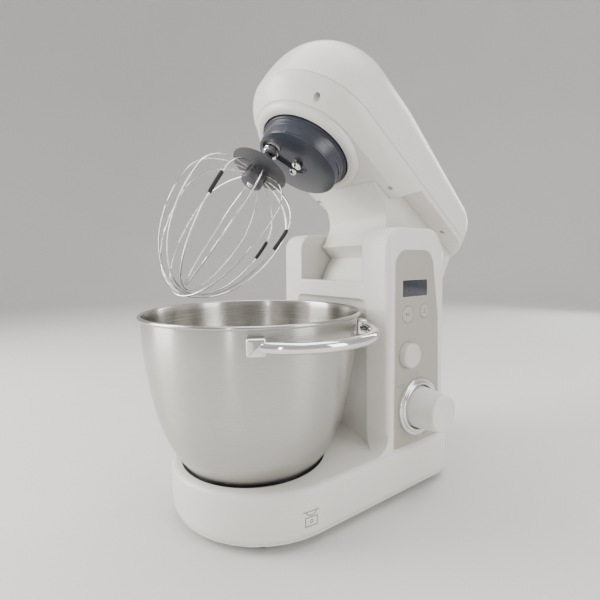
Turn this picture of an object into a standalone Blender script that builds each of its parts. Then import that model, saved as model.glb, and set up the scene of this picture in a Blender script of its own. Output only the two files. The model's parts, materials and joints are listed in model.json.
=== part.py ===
"""Tilt-head stand mixer, in metres, +Z up, facing -Y.

Every piece is laid out as it stands with the head down: the bowl axis is x = 0, y = 0 and the feet
rest at z = 0. The pieces of the head hang on an empty on the tilt hinge, which is then turned by
HEAD_TILT, so that the model rests with its head raised. At the end the whole mixer is moved so that
the origin lies under the middle of its box.
"""

import math

import bmesh
import bpy
from mathutils import Matrix, Vector

NAME = "stand_mixer"
GAP = 0.0003  # between pieces that touch
WALL = 0.003  # moulded housing
COVER_WALL = 0.0025  # moulded head covers

# Base and pillar
BASE_HALF_WIDTH = 0.1005
BASE_NOSE_Y = 0.0136  # centre of the round front
BASE_BOTTOM = 0.0076
BASE_TOP = 0.0565
BASE_REAR = (0.203, 0.040)  # centre and depth of the rounded back
PILLAR_HALF_WIDTH = 0.0963
PILLAR_FRONT = 0.1107
PILLAR_REAR = (0.200, 0.038)
PILLAR_TOP = 0.301
PILLAR_CORNER = 0.008
BOWL_CLEARANCE_RADIUS = 0.128  # hollow in the pillar's front, round the bowl axis
BOWL_HOLLOW_TOP = 0.2215
SLOT_HALF_WIDTH = 0.0554
LIP_TOP = 0.2412
LIP_BACK = 0.1165
BARREL_CLEARANCE = 0.003
FOOT_RADIUS = 0.010
FOOT_PLACES = ((0.066, -0.030), (0.080, 0.185))
PLATE_THICKNESS = 0.002
PLATE_SCREWS = ((0, -0.060), (0, 0.215))
GLAND_RADIUS = 0.0055
GLAND_HEIGHT = 0.032

# Bowl and its seat
SEAT_RADIUS = 0.0775
SEAT_FLOOR = 0.044
PAD_RADIUS = 0.064
PAD_THICKNESS = 0.0027
BOWL_BOTTOM = 0.0515
BOWL_RIM_Z = 0.2108
BOWL_RIM_RADIUS = 0.1145
BOWL_WALL = 0.0012
BEAD_RADIUS = 0.0020
FOOT_RING_RADIUS = 0.0670
FOOT_RING_WALL = 0.0035
LUG_REACH = 0.0052
LUG_HALF_ANGLE = math.radians(11)
LUGS = 3
HANDLE_Z = 0.196
HANDLE_TUBE = 0.0052
HANDLE_ENDS = (math.radians(-28.5), math.radians(46.5))
HANDLE_STANDOFF = 0.0068  # from the bowl wall to the tube's centre at its ends
HANDLE_BULGE = 0.0215
MOUNT_SIZE = (0.0045, 0.0165, 0.0155)

# Head, measured up from the rim of the planetary carrier
CARRIER_Z = 0.280
HINGE_Y = 0.211
HINGE_Z = 0.2187
HEAD_TILT = math.radians(35.5)
HEAD_RADIUS = 0.084
HEAD_REAR = (0.205, 0.055)
HEAD_REAR_NARROWING = 0.976
HEAD_UNDERSIDE = 0.008
HEAD_SEAM = 0.032
HEAD_WIDEST = 0.035
HEAD_HEIGHT = 0.125
HEAD_FULLNESS = 2.6
CHIN_FLARE = 0.0165
TOP_SLOPE = 0.16
TOP_SLOPE_FROM = 0.06
LEDGE = 0.026  # underside of the head beside the neck
STEP_RADIUS = 0.129  # round the hinge, in front of the cheeks
HEAD_SCREWS = ((0.0585, -0.0455, 0.0240), (0.0660, 0.1930, 0.0305))  # x, y and height of the seat
NECK_CLEARANCE = 0.0029  # to the cheeks on each side
NECK_HALF_WIDTH = SLOT_HALF_WIDTH - NECK_CLEARANCE
NECK_FRONT = 0.1184
NECK_REAR = 0.252
BARREL_RADIUS = 0.0705
BARREL_SWEEP = (math.radians(171), math.radians(216))
PIN_RADIUS = 0.005
PIN_REACH = SLOT_HALF_WIDTH + 0.0166
BUSH_WALL = 0.0038
BUSH_RADIUS = PIN_RADIUS + GAP + BUSH_WALL
BUSH_LENGTH = 0.0085
BOSS_RADIUS = PIN_RADIUS + 0.0085

# Planetary drive
MODULE = 0.0015
RING_TEETH = 55
PLANET_TEETH = 11
ORBIT = MODULE * (RING_TEETH - PLANET_TEETH) / 2
ORBIT_ANGLE = math.radians(-112)
CARRIER_RADIUS = 0.0530
CARRIER_FLOOR_RADIUS = CARRIER_RADIUS - 0.0042
CARRIER_DEPTH = 0.0198
CARRIER_WALL = 0.003
COLLAR = (CARRIER_RADIUS + 0.0015, CARRIER_RADIUS + 0.0125)
RING_GEAR_RADIUS = 0.0480
GEAR_SPAN = (0.0115, 0.0195)
DRIVE_SHAFT = 0.006
DRIVE_SHAFT_SPAN = (-0.0330, 0.064)
OUTPUT_SHAFT = 0.004
OUTPUT_COLLAR = 0.0090
OUTPUT_SPAN = (-0.0645, 0.0200)
RUNNING_GAP = 0.0003

# Gear train and motor, in the head
TRAIN_MODULE = 0.0015
MAIN_TEETH = 40
PINION_TEETH = 8
TRAIN_SPAN = (0.0300, 0.0380)
COUNTERSHAFT_Y = TRAIN_MODULE * (MAIN_TEETH + PINION_TEETH) / 2
COUNTERSHAFT = 0.003
PULLEY_SPAN = (0.0700, 0.0800)
BIG_PULLEY = 0.036
MOTOR_PULLEY = 0.006
BELT = 0.0015
MOTOR_Y = 0.150
MOTOR_RADIUS = 0.0340
MOTOR_SPAN = (0.0310, 0.0655)
ROTOR_RADIUS = 0.0240
MOTOR_SHAFT = 0.0025
BOARD = (0.0245, 0.0205)  # gearbox plate: top and bottom

# Whisk
DISC_RADIUS = 0.0333
DISC_DROP = 0.0515
HUB_RADIUS = 0.0125
HUB_DROP = 0.0725
WIRE_RADIUS = 0.0009
WIRE_LOOPS = 6
WHISK_RADIUS = 0.0635
WHISK_WIDEST = 0.105
WHISK_SHOULDER = 0.046
WHISK_DEPTH = 0.112
WIRE_STACKING = 0.0024
WIRE_STEPS = 10
SLEEVE_SEGMENT = 4
SLEEVE_SPAN = (0.15, 0.90)  # share of that straight of the wire
SLEEVES = ((1, 0, "a"), (3, 0, "b"), (4, 1, "c"))  # loop, side and letter
SLEEVE_BORE = 0.0013
SLEEVE_WALL = 0.0008

# Controls, on the pillar's +X side
PANEL_PROUD = 0.0003
PANEL_THICKNESS = 0.0016
PANEL_FRONT = 0.119
PANEL_REAR = 0.196
PANEL_FOOT = 0.057
PANEL_HEAD = 0.276
DISPLAY = (0.1545, 0.2335, 0.0430, 0.0193)  # centre y, z, width, height
START_BUTTON = (0.1415, 0.2050, 0.0095)
TIMER_BUTTON = (0.1705, 0.2070, 0.0080)
RELEASE_BUTTON = (0.1420, 0.1600, 0.0138)
KNOB = (0.1590, 0.0990)
KNOB_RADII = (0.0235, 0.0205)
KNOB_LENGTH = 0.0345
KNOB_RING = (0.0250, 0.0325)
KNOB_RING_HEIGHT = 0.0055
BUTTON_GAP = 0.0004
BUTTON_TRAVEL = 0.0008
BUTTON_STEM = 0.0025
RELEASE_PROUD = 0.0080
RELEASE_STEM = 0.0035
RIB_SPAN = (SLOT_HALF_WIDTH + 0.0004, SLOT_HALF_WIDTH + WALL)
RIB = (RIB_SPAN, (0.128, 0.156), (0.146, 0.200))  # inner rib that carries the release spring

HINGE = Vector((0, HINGE_Y, HINGE_Z))
CARRIER = Vector((0, 0, CARRIER_Z))
WHISK_AXIS = CARRIER + ORBIT * Vector((math.cos(ORBIT_ANGLE), math.sin(ORBIT_ANGLE), 0))
SIDE = PILLAR_HALF_WIDTH

# Each body: the body that carries it, and where its axis is with the head down
AXES = {
    "base": (None, Vector((0, 0, 0))),
    "head": ("base", HINGE),
    "planetary": ("head", CARRIER),
    "whisk_drive": ("planetary", WHISK_AXIS),
    "whisk": ("whisk_drive", WHISK_AXIS),
    "countershaft": ("head", CARRIER + Vector((0, COUNTERSHAFT_Y, 0))),
    "motor": ("head", CARRIER + Vector((0, MOTOR_Y, 0))),
    "bowl_pad": ("base", Vector((0, 0, SEAT_FLOOR))),
    "bowl": ("bowl_pad", Vector((0, 0, BOWL_BOTTOM))),
    "knob": ("base", Vector((SIDE, *KNOB))),
    "start_button": ("base", Vector((SIDE, *START_BUTTON[:2]))),
    "timer_button": ("base", Vector((SIDE, *TIMER_BUTTON[:2]))),
    "release_button": ("base", Vector((SIDE, *RELEASE_BUTTON[:2]))),
}

COLOURS = {
    "white": ((0.80, 0.78, 0.74), 0.38, 0.0),
    "beige": ((0.56, 0.53, 0.48), 0.45, 0.0),
    "slate": ((0.050, 0.056, 0.075), 0.35, 0.0),
    "charcoal": ((0.060, 0.060, 0.068), 0.45, 0.0),
    "black_plastic": ((0.02, 0.02, 0.022), 0.5, 0.0),
    "rubber": ((0.015, 0.015, 0.015), 0.85, 0.0),
    "steel": ((0.62, 0.61, 0.59), 0.28, 1.0),
    "chrome": ((0.80, 0.80, 0.80), 0.08, 1.0),
    "iron": ((0.35, 0.35, 0.36), 0.45, 1.0),
    "copper": ((0.70, 0.32, 0.18), 0.40, 1.0),
    "gear_nylon": ((0.75, 0.73, 0.66), 0.5, 0.0),
    "glass": ((0.012, 0.016, 0.022), 0.08, 0.0),
    "circuit": ((0.02, 0.16, 0.07), 0.55, 0.0),
}


# ---------------------------------------------------------------- scene and small helpers

def clear_scene():
    for obj in list(bpy.data.objects):
        bpy.data.objects.remove(obj, do_unlink=True)


def new_collection(name):
    found = bpy.data.collections.new(name)
    bpy.context.scene.collection.children.link(found)
    return found


def material(name, finish):
    colour, roughness, metallic = COLOURS[finish]
    made = bpy.data.materials.new(name)
    made.use_nodes = True
    shader = made.node_tree.nodes["Principled BSDF"]
    shader.inputs["Base Color"].default_value = (*colour, 1)
    shader.inputs["Roughness"].default_value = roughness
    shader.inputs["Metallic"].default_value = metallic
    return made


clear_scene()
PARTS = new_collection(NAME)
CUTTERS = new_collection(NAME + "_cutters")
EMPTIES = {}


def make_empties():
    for body, (carrier, at) in AXES.items():
        empty = bpy.data.objects.new(body + "_axis", None)
        empty.empty_display_size = 0.02
        PARTS.objects.link(empty)
        if carrier:
            empty.parent = EMPTIES[carrier]
            empty.location = at - AXES[carrier][1]
        EMPTIES[body] = empty
    EMPTIES["head"].rotation_euler.x = -HEAD_TILT


def place(obj, body, at=(0, 0, 0)):
    """Hangs the object on its body's axis; at is its origin with the head down."""
    obj.parent = EMPTIES[body]
    obj.location = Vector(at) - AXES[body][1]
    return obj


def piece(obj, name, body, finish, at=(0, 0, 0)):
    """Makes the object a named part of the mixer."""
    obj.name = name
    obj.data.name = name
    PARTS.objects.link(obj)
    obj.data.materials.clear()
    obj.data.materials.append(material(name, finish))
    if obj.type == "MESH":
        obj.data.shade_smooth()
        obj.data.set_sharp_from_angle(angle=math.radians(35))
    return place(obj, body, at)


def cutter(obj, body, at=(0, 0, 0)):
    CUTTERS.objects.link(obj)
    obj.hide_render = True
    obj.display_type = "WIRE"
    return place(obj, body, at)


def boolean(obj, tool, operation="DIFFERENCE", solver="EXACT"):
    step = obj.modifiers.new(operation.lower(), "BOOLEAN")
    step.operation = operation
    step.solver = solver
    step.object = tool
    return obj


def cleanly(obj, tool, operation="DIFFERENCE"):
    """A Boolean for long chains of cuts, where the exact solver leaves slits."""
    return boolean(obj, tool, operation, "MANIFOLD")


def bevel(obj, width, segments=2, angle=40):
    step = obj.modifiers.new("bevel", "BEVEL")
    step.width = width
    step.segments = segments
    step.limit_method = "ANGLE"
    step.angle_limit = math.radians(angle)
    return obj


def from_bmesh(name, bm):
    data = bpy.data.meshes.new(name)
    bmesh.ops.recalc_face_normals(bm, faces=bm.faces)
    if bm.calc_volume(signed=True) < 0:
        bmesh.ops.reverse_faces(bm, faces=bm.faces)
    bm.to_mesh(data)
    bm.free()
    return bpy.data.objects.new(name, data)


TO_X = Matrix.Rotation(math.radians(90), 4, "Z") @ Matrix.Rotation(math.radians(90), 4, "X")


def rod(radius, low, high, segments=32, top_radius=None, along_x=False, centre=(0, 0)):
    """A cylinder or cone along Z, or along X when asked; centre is its place across its axis."""
    bm = bmesh.new()
    turn = TO_X if along_x else Matrix.Identity(4)
    move = turn @ Matrix.Translation((centre[0], centre[1], (low + high) / 2))
    top = radius if top_radius is None else top_radius
    bmesh.ops.create_cone(
        bm, cap_ends=True, segments=segments, radius1=radius, radius2=top, depth=high - low, matrix=move
    )
    return from_bmesh("rod", bm)


def block(low, high):
    """A box between two corners."""
    bm = bmesh.new()
    size = [b - a for a, b in zip(low, high)]
    middle = [(a + b) / 2 for a, b in zip(low, high)]
    bmesh.ops.create_cube(bm, size=1, matrix=Matrix.Translation(middle) @ Matrix.Diagonal((*size, 1)))
    return from_bmesh("block", bm)


def as_mesh(curve):
    """The evaluated curve as a mesh, with its caps welded and its turn and place kept in the mesh."""
    bpy.context.scene.collection.objects.link(curve)
    bpy.context.view_layer.update()
    data = bpy.data.meshes.new_from_object(curve.evaluated_get(bpy.context.evaluated_depsgraph_get()))
    data.transform(curve.matrix_world)
    bpy.data.objects.remove(curve)
    bm = bmesh.new()
    bm.from_mesh(data)
    bmesh.ops.remove_doubles(bm, verts=bm.verts, dist=0.00001)
    bm.to_mesh(data)
    bm.free()
    return bpy.data.objects.new("plate", data)


def poly_spline(curve, points, cyclic):
    spline = curve.splines.new("POLY")
    spline.points.add(len(points) - 1)
    for point, at in zip(spline.points, points):
        point.co = (*at, 0, 1) if len(at) == 2 else (*at, 1)
    spline.use_cyclic_u = cyclic


def plate(outlines, low, high, along_x=False):
    """Flat outlines, the first one outside and the others as holes, extruded from low to high."""
    curve = bpy.data.curves.new("plate", "CURVE")
    curve.dimensions = "2D"
    curve.fill_mode = "BOTH"
    curve.extrude = (high - low) / 2
    curve.render_resolution_u = 0
    for outline in outlines:
        poly_spline(curve, outline, True)
    obj = bpy.data.objects.new("plate", curve)
    turn = TO_X if along_x else Matrix.Identity(4)
    obj.matrix_world = turn @ Matrix.Translation((0, 0, (low + high) / 2))
    return as_mesh(obj)


def tube(paths, radius, sides=2, caps=True):
    """Round wires along lists of points."""
    curve = bpy.data.curves.new("tube", "CURVE")
    curve.dimensions = "3D"
    curve.bevel_depth = radius
    curve.bevel_resolution = sides
    curve.use_fill_caps = caps
    curve.render_resolution_u = 0
    for path in paths:
        poly_spline(curve, path, False)
    return as_mesh(bpy.data.objects.new("tube", curve))


def turned(profile, steps=48):
    """A profile of (radius, height), down its outer side first, turned about Z. A ring's profile closes."""
    data = bpy.data.meshes.new("turned")
    points = [(r, 0, z) for r, z in profile]
    edges = [(i, i + 1) for i in range(len(points) - 1)]
    if profile[0][0] > 0:
        edges.append((len(points) - 1, 0))
    data.from_pydata(points, edges, [])
    obj = bpy.data.objects.new("turned", data)
    screw = obj.modifiers.new("screw", "SCREW")
    screw.steps = steps
    screw.render_steps = steps
    screw.use_merge_vertices = True
    screw.merge_threshold = 0.00005
    screw.use_smooth_shade = True
    return obj


def arc(centre, radius, start, end, count):
    """Points along an arc, both ends included."""
    angles = [start + (end - start) * i / (count - 1) for i in range(count)]
    return [(centre[0] + radius * math.cos(a), centre[1] + radius * math.sin(a)) for a in angles]


def rounded(corners, steps=4):
    """A closed outline whose corners (x, y, radius) are replaced by arcs."""
    points = []
    for i, (x, y, radius) in enumerate(corners):
        here = Vector((x, y))
        if radius <= 0:
            points.append((x, y))
            continue
        before = Vector(corners[i - 1][:2]) - here
        after = Vector(corners[(i + 1) % len(corners)][:2]) - here
        before.normalize()
        after.normalize()
        half = before.angle(after) / 2
        centre = here + (before + after).normalized() * radius / math.sin(half)
        first = here + before * radius / math.tan(half) - centre
        last = here + after * radius / math.tan(half) - centre
        start = math.atan2(first.y, first.x)
        turn = (math.atan2(last.y, last.x) - start + math.pi) % (2 * math.pi) - math.pi
        points += arc(centre, radius, start, start + turn, steps + 1)
    return points


def rectangle(y, z, width, height, radius):
    """A rounded rectangle about a centre."""
    right, top = width / 2, height / 2
    corners = ((-right, -top), (right, -top), (right, top), (-right, top))
    return rounded([(y + a, z + b, radius) for a, b in corners])


def gear_outline(teeth, module, internal=False, turn=0.0):
    """Straight-sided teeth, thinned for backlash; turn moves a tooth's middle off +X."""
    pitch = module * teeth / 2
    tip, root = (-0.85, 1.15) if internal else (0.85, -1.15)
    step = 2 * math.pi / teeth
    outline = []
    for i in range(teeth):
        middle = turn + i * step
        for offset, height in ((-0.33, root), (-0.115, tip), (0.115, tip), (0.33, root)):
            angle = middle + offset * step
            radius = pitch + height * module
            outline.append((radius * math.cos(angle), radius * math.sin(angle)))
    return outline


def circle(radius, count=48):
    return arc((0, 0), radius, 0, 2 * math.pi * (count - 1) / count, count)


def corner(x, y):
    return ("front" if y < 0.1 else "rear") + ("_left" if x < 0 else "_right")


# ---------------------------------------------------------------- base and pillar

def footprint(half_width, front, rear, inset):
    """Plan outline: a round nose or a square front, straight sides and a rounded back."""
    side = half_width - inset
    depth = rear[1] - inset
    back = [(side * math.cos(a),
        rear[0] + depth * math.sin(a)) for a in [math.pi * i / 12 for i in range(13)]]
    return front(side, inset) + back


def base_nose(side, inset):
    return arc((0, BASE_NOSE_Y), side, -math.pi, 0, 19)


def pillar_nose(side, inset):
    y = PILLAR_FRONT + inset
    radius = PILLAR_CORNER - inset / 2
    left = arc((-side + radius, y + radius), radius, math.pi, 1.5 * math.pi, 5)
    right = arc((side - radius, y + radius), radius, 1.5 * math.pi, 2 * math.pi, 5)
    return left + right


def pillar_silhouette(inset):
    """Side outline (y, z) of the pillar, with the cheeks' rounded tops."""
    front = PILLAR_FRONT + inset
    top = PILLAR_TOP - inset
    back = PILLAR_REAR[0]
    corners = [
        (front, BASE_TOP - 0.02, 0),
        (back + 0.10, BASE_TOP - 0.02, 0),
        (back + 0.10, 0.10, 0),
        (back + 0.040 - inset, 0.12, 0),
        (back + 0.034 - inset, 0.225, 0.012),
        (back - 0.004 - inset, top, 0.024),
        (front, top, 0.020),
    ]
    return rounded(corners, 4)


def slot_outline(inset):
    """Side outline of the well behind the lip, round the neck's barrel."""
    radius = BARREL_RADIUS + BARREL_CLEARANCE + inset
    turn = arc(HINGE.yz, radius, math.radians(174), math.radians(234), 7)
    front = LIP_BACK - inset
    rear = PILLAR_REAR[0] + 0.12
    return [(rear, LIP_TOP + 0.1), (front, LIP_TOP + 0.1), (front, turn[0][1] - inset * 0.3), *turn,
        (rear, turn[-1][1])]


def housing_solid(inset, bottom):
    """The base and pillar as one solid, every outer face moved in by inset and every hollow grown by it."""
    plan = footprint(BASE_HALF_WIDTH, base_nose, BASE_REAR, inset)
    solid = plate([plan], bottom, BASE_TOP - inset)
    column = plate([footprint(PILLAR_HALF_WIDTH, pillar_nose, PILLAR_REAR, inset)], BASE_TOP - 0.012,
        PILLAR_TOP + 0.02)
    cheeks = plate([pillar_silhouette(inset)], -0.2, 0.2, along_x=True)
    cleanly(column, cutter(cheeks, "base"), "INTERSECT")
    hollow_top = BOWL_HOLLOW_TOP + inset
    around_bowl = rod(BOWL_CLEARANCE_RADIUS + inset, BASE_TOP - inset * 1.01, hollow_top, 48)
    cleanly(column, cutter(around_bowl, "base"))
    half = SLOT_HALF_WIDTH + inset
    cleanly(column, cutter(block((-half, 0, LIP_TOP - inset), (half, 0.4, 0.4)), "base"))
    cleanly(column, cutter(plate([slot_outline(inset)], -half, half, along_x=True), "base"))
    cleanly(solid, cutter(column, "base"), "UNION")
    seat = rod(SEAT_RADIUS + inset, SEAT_FLOOR - inset, BASE_TOP + 0.02, 48)
    cleanly(solid, cutter(seat, "base"))
    return solid


def panel_outline(inset):
    """The control panel: a tall plate with large top corners, its rear edge leaning with the pillar."""
    corners = [
        (PANEL_FRONT + inset, PANEL_FOOT + inset, 0.004),
        (PANEL_REAR + 0.003 - inset, PANEL_FOOT + inset, 0.004),
        (PANEL_REAR - inset, 0.20, 0.05),
        (PANEL_REAR - 0.012 - inset, PANEL_HEAD - inset, 0.018),
        (PANEL_FRONT + 0.002 + inset, PANEL_HEAD - inset, 0.018),
    ]
    return rounded(corners, 5)


def side_hole(radius, centre, depth=0.012, segments=24):
    """A cutter through the pillar's control side."""
    return cutter(rod(radius, SIDE - depth, SIDE + 0.02, segments, along_x=True, centre=centre), "base")


def make_housing():
    housing = housing_solid(0, BASE_BOTTOM)
    cleanly(housing, cutter(housing_solid(WALL, -0.02), "base"))
    rib = block([span[0] for span in RIB], [span[1] for span in RIB])
    cleanly(housing, cutter(rib, "base"), "UNION")
    y, z = RELEASE_BUTTON[:2]
    cleanly(housing, cutter(rod(RELEASE_STEM + 0.0004, 0.04, SIDE + 0.01, 20, along_x=True,
        centre=(y, z)), "base"))
    bed = plate([panel_outline(-GAP)], SIDE - PANEL_THICKNESS, SIDE + 0.01, along_x=True)
    cleanly(housing, cutter(bed, "base"))
    y, z, width, height = DISPLAY
    window = plate([rectangle(y, z, width - 0.002, height - 0.002, 0.001)], SIDE - 0.01, SIDE + 0.01,
        along_x=True)
    cleanly(housing, cutter(window, "base"))
    for y, z, radius in (START_BUTTON, TIMER_BUTTON):
        cleanly(housing, side_hole(BUTTON_STEM + BUTTON_GAP, (y, z)))
    cleanly(housing, side_hole(RELEASE_BUTTON[2] + BUTTON_GAP, RELEASE_BUTTON[:2]))
    cleanly(housing, side_hole(BUTTON_STEM + 0.002, KNOB))
    pivot = rod(BUSH_RADIUS + GAP, -SLOT_HALF_WIDTH - 0.01, SLOT_HALF_WIDTH + 0.01, along_x=True,
        centre=HINGE.yz)
    cleanly(housing, cutter(pivot, "base"))
    rear_y = BASE_REAR[0] + BASE_REAR[1]
    gland_hole = rod(GLAND_RADIUS + GAP, -0.01, 0.01, 24)
    gland_hole.data.transform(Matrix.Translation((0, rear_y,
        GLAND_HEIGHT)) @ Matrix.Rotation(math.radians(90), 4, "X"))
    cleanly(housing, cutter(gland_hole, "base"))
    piece(housing, "base_housing", "base", "white")


def make_base_pieces():
    plan = footprint(BASE_HALF_WIDTH, base_nose, BASE_REAR, WALL + GAP)
    bottom = plate([plan], BASE_BOTTOM, BASE_BOTTOM + PLATE_THICKNESS)
    feet_z = (0.0, BASE_BOTTOM - GAP)
    places = [(side * x, y) for x, y in FOOT_PLACES for side in (-1, 1)]
    for x, y in PLATE_SCREWS:
        boolean(bottom, cutter(rod(0.0023, 0, 0.02, 16, centre=(x, y)), "base"))
    piece(bottom, "bottom_plate", "base", "white")
    for x, y in places:
        foot = rod(FOOT_RADIUS - 0.0015, *feet_z, 24, top_radius=FOOT_RADIUS, centre=(x, y))
        piece(foot, "foot_" + corner(x, y), "base", "rubber")
    for x, y in PLATE_SCREWS:
        profile = [(0, 0.0185), (0.002, 0.0185), (0.002, 0.0073), (0.0036, 0.0073), (0.0036, 0.0055),
            (0, 0.0055)]
        screw = turned(profile, 10)
        piece(screw, "plate_screw_" + ("front" if y < 0.1 else "rear"), "base", "iron", (x, y, 0))
    board = block((-0.045, 0.150, 0.018), (0.045, 0.205, 0.0196))
    piece(board, "power_board", "base", "circuit")
    profile = [(0.0032, 0.012), (GLAND_RADIUS, 0.012), (GLAND_RADIUS, -GAP - 0.0001), (0.0085, -GAP - 0.0001)]
    profile += [(0.0078, -0.005), (0.0048, -0.016), (0.0032, -0.016)]
    gland = frozen(turned(profile, 16))
    gland.data.transform(Matrix.Rotation(math.radians(90), 4, "X"))
    rear_y = BASE_REAR[0] + BASE_REAR[1]
    piece(gland, "cord_gland", "base", "black_plastic", (0, rear_y, GLAND_HEIGHT))


def frozen(obj, offset=(0, 0, 0)):
    """The object with its modifiers applied and its mesh moved."""
    bpy.context.scene.collection.objects.link(obj)
    bpy.context.view_layer.update()
    data = bpy.data.meshes.new_from_object(obj.evaluated_get(bpy.context.evaluated_depsgraph_get()))
    bpy.data.objects.remove(obj)
    data.transform(Matrix.Translation(offset))
    return bpy.data.objects.new("frozen", data)


# ---------------------------------------------------------------- bowl

def bowl_side(shrink):
    """The bowl's wall, rim first, as (radius, height) from a smooth curve through five points."""
    through = [(BOWL_RIM_RADIUS, BOWL_RIM_Z), (0.1131, 0.1840), (0.1090, 0.1510), (0.1028, 0.1180)]
    through += [(0.0960, 0.0960), (0.0860, 0.0735), (0.0735, BOWL_BOTTOM + 0.0035)]
    points = [Vector(p) for p in through]
    ends = [points[0] * 2 - points[1], *points, points[-1] * 2 - points[-2]]
    side = []
    for i in range(1, len(ends) - 2):
        a, b, c, d = ends[i - 1 : i + 3]
        for t in (0,):
            bend = (2 * a - 5 * b + 4 * c - d) * t * t + (3 * b - a - 3 * c + d) * t**3
            at = 0.5 * (2 * b + (c - a) * t + bend)
            side.append((at.x - shrink, at.y))
    side.append((points[-1].x - shrink, points[-1].y))
    return side


def make_bowl():
    bead = arc((BOWL_RIM_RADIUS + BEAD_RADIUS - BOWL_WALL, BOWL_RIM_Z), BEAD_RADIUS, math.pi,
        -0.72 * math.pi, 6)
    outer = bowl_side(0)[1:] + [(0.0695, BOWL_BOTTOM), (0, BOWL_BOTTOM)]
    inner = bowl_side(BOWL_WALL)[1:] + [(0.0695, BOWL_BOTTOM + BOWL_WALL), (0, BOWL_BOTTOM + BOWL_WALL)]
    piece(turned(inner[::-1] + bead + outer, 40), "bowl", "bowl", "steel")
    top, low = BOWL_BOTTOM - GAP, SEAT_FLOOR + PAD_THICKNESS + 2 * GAP
    outer, inner = FOOT_RING_RADIUS, FOOT_RING_RADIUS - FOOT_RING_WALL
    ring = frozen(turned([(outer, top), (outer, low), (inner, low), (inner, top)], 40))
    for i in range(LUGS):
        middle = 2 * math.pi * i / LUGS + math.radians(90)
        span = (middle - LUG_HALF_ANGLE, middle + LUG_HALF_ANGLE)
        sector = arc((0, 0), outer + LUG_REACH, *span, 5) + arc((0, 0), outer - 0.0015, span[1], span[0], 5)
        boolean(ring, cutter(plate([sector], low + 0.0002, low + 0.0026), "bowl"), "UNION")
    piece(ring, "bowl_foot_ring", "bowl", "steel")
    make_handle()


def bowl_radius(height):
    side = bowl_side(0)
    for (r1, z1), (r2, z2) in zip(side, side[1:]):
        if z2 <= height <= z1:
            return r1 + (r2 - r1) * (height - z1) / (z2 - z1)
    return side[0][0]


def make_handle():
    start, end = HANDLE_ENDS
    foot = bowl_radius(HANDLE_Z) + HANDLE_STANDOFF
    depth, width, height = MOUNT_SIZE
    clear = (width / 2 - 0.002) / foot
    path = []
    for i in range(21):
        share = i / 20
        angle = start + clear + (end - start - 2 * clear) * share
        radius = foot + HANDLE_BULGE * math.sin(math.pi * share) ** 0.8
        path.append((radius * math.cos(angle), radius * math.sin(angle), HANDLE_Z))
    handle = tube([path], HANDLE_TUBE, 3)
    reach = foot + HANDLE_TUBE * 0.6
    for angle in HANDLE_ENDS:
        low = (bowl_radius(HANDLE_Z + height / 2) + GAP, -width / 2, HANDLE_Z - height / 2)
        mount = block(low, (reach, width / 2, HANDLE_Z + height / 2))
        mount.data.transform(Matrix.Rotation(angle, 4, "Z"))
        boolean(handle, cutter(mount, "bowl"), "UNION")
    piece(handle, "bowl_handle", "bowl", "chrome")


def make_seat():
    outer, low, top = SEAT_RADIUS - GAP, SEAT_FLOOR + 0.0063, SEAT_FLOOR + 0.0115
    throat = FOOT_RING_RADIUS + 0.0020
    skirt = FOOT_RING_RADIUS + LUG_REACH + 0.0012
    floor = SEAT_FLOOR + GAP
    profile = [(throat, low + 0.0007), (SEAT_RADIUS - 0.002, top), (outer, top), (outer, floor),
        (skirt, floor), (skirt, low), (throat, low)]
    ring = frozen(turned(profile, 40))
    for i in range(LUGS):
        middle = 2 * math.pi * i / LUGS + math.radians(90)
        span = (middle - LUG_HALF_ANGLE * 1.25, middle + LUG_HALF_ANGLE * 1.25)
        gate = arc((0, 0), skirt, *span, 5) + arc((0, 0), throat - 0.003, span[1], span[0], 5)
        boolean(ring, cutter(plate([gate], low - 0.001, top + 0.001), "base"))
    piece(ring, "bowl_lock_ring", "base", "black_plastic")
    floor = SEAT_FLOOR + GAP
    pad = rod(PAD_RADIUS, floor, floor + PAD_THICKNESS, 48)
    piece(pad, "bowl_pad", "bowl_pad", "rubber")


# ---------------------------------------------------------------- head

def head_section(level, inset):
    """Half-width and height of the head's outline at a level from -1 (underside) through 0 to 1 (top)."""
    radius = HEAD_RADIUS - inset
    if level < 0:
        drop = -level
        span = HEAD_WIDEST - HEAD_UNDERSIDE - inset
        return radius - CHIN_FLARE * drop**2.2, HEAD_WIDEST - span * drop
    swing = level * math.pi / 2
    width = radius * max(math.cos(swing), 0) ** (2 / HEAD_FULLNESS)
    rise = (HEAD_HEIGHT - inset - HEAD_WIDEST) * math.sin(swing) ** (2 / HEAD_FULLNESS)
    return width, HEAD_WIDEST + rise


def head_ring(half, height, inset):
    """One level of the head: a round front about the planetary axis, straight sides and a rounded back."""
    share = half / HEAD_RADIUS
    front = arc((0, 0), half, -math.pi, 0, 13)
    rear_half = half * HEAD_REAR_NARROWING
    depth = HEAD_REAR[1] * (0.4 + 0.6 * share) - inset * 0.6
    angles = [math.pi * i / 8 for i in range(9)]
    rear = [(rear_half * math.cos(a), HEAD_REAR[0] + depth * math.sin(a)) for a in angles]
    steps = [1 / 3, 2 / 3]
    right = [(half + (rear_half - half) * s, HEAD_REAR[0] * s) for s in steps]
    left = [(-x, y) for x, y in reversed(right)]
    ring = []
    for x, y in front + right + rear + left:
        z = height
        if height > HEAD_WIDEST:
            fall = TOP_SLOPE * max(0, y - TOP_SLOPE_FROM) / (HEAD_HEIGHT - HEAD_WIDEST)
            z = HEAD_WIDEST + (height - HEAD_WIDEST) * (1 - fall)
        ring.append((x, y, CARRIER_Z + z))
    return ring


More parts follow.
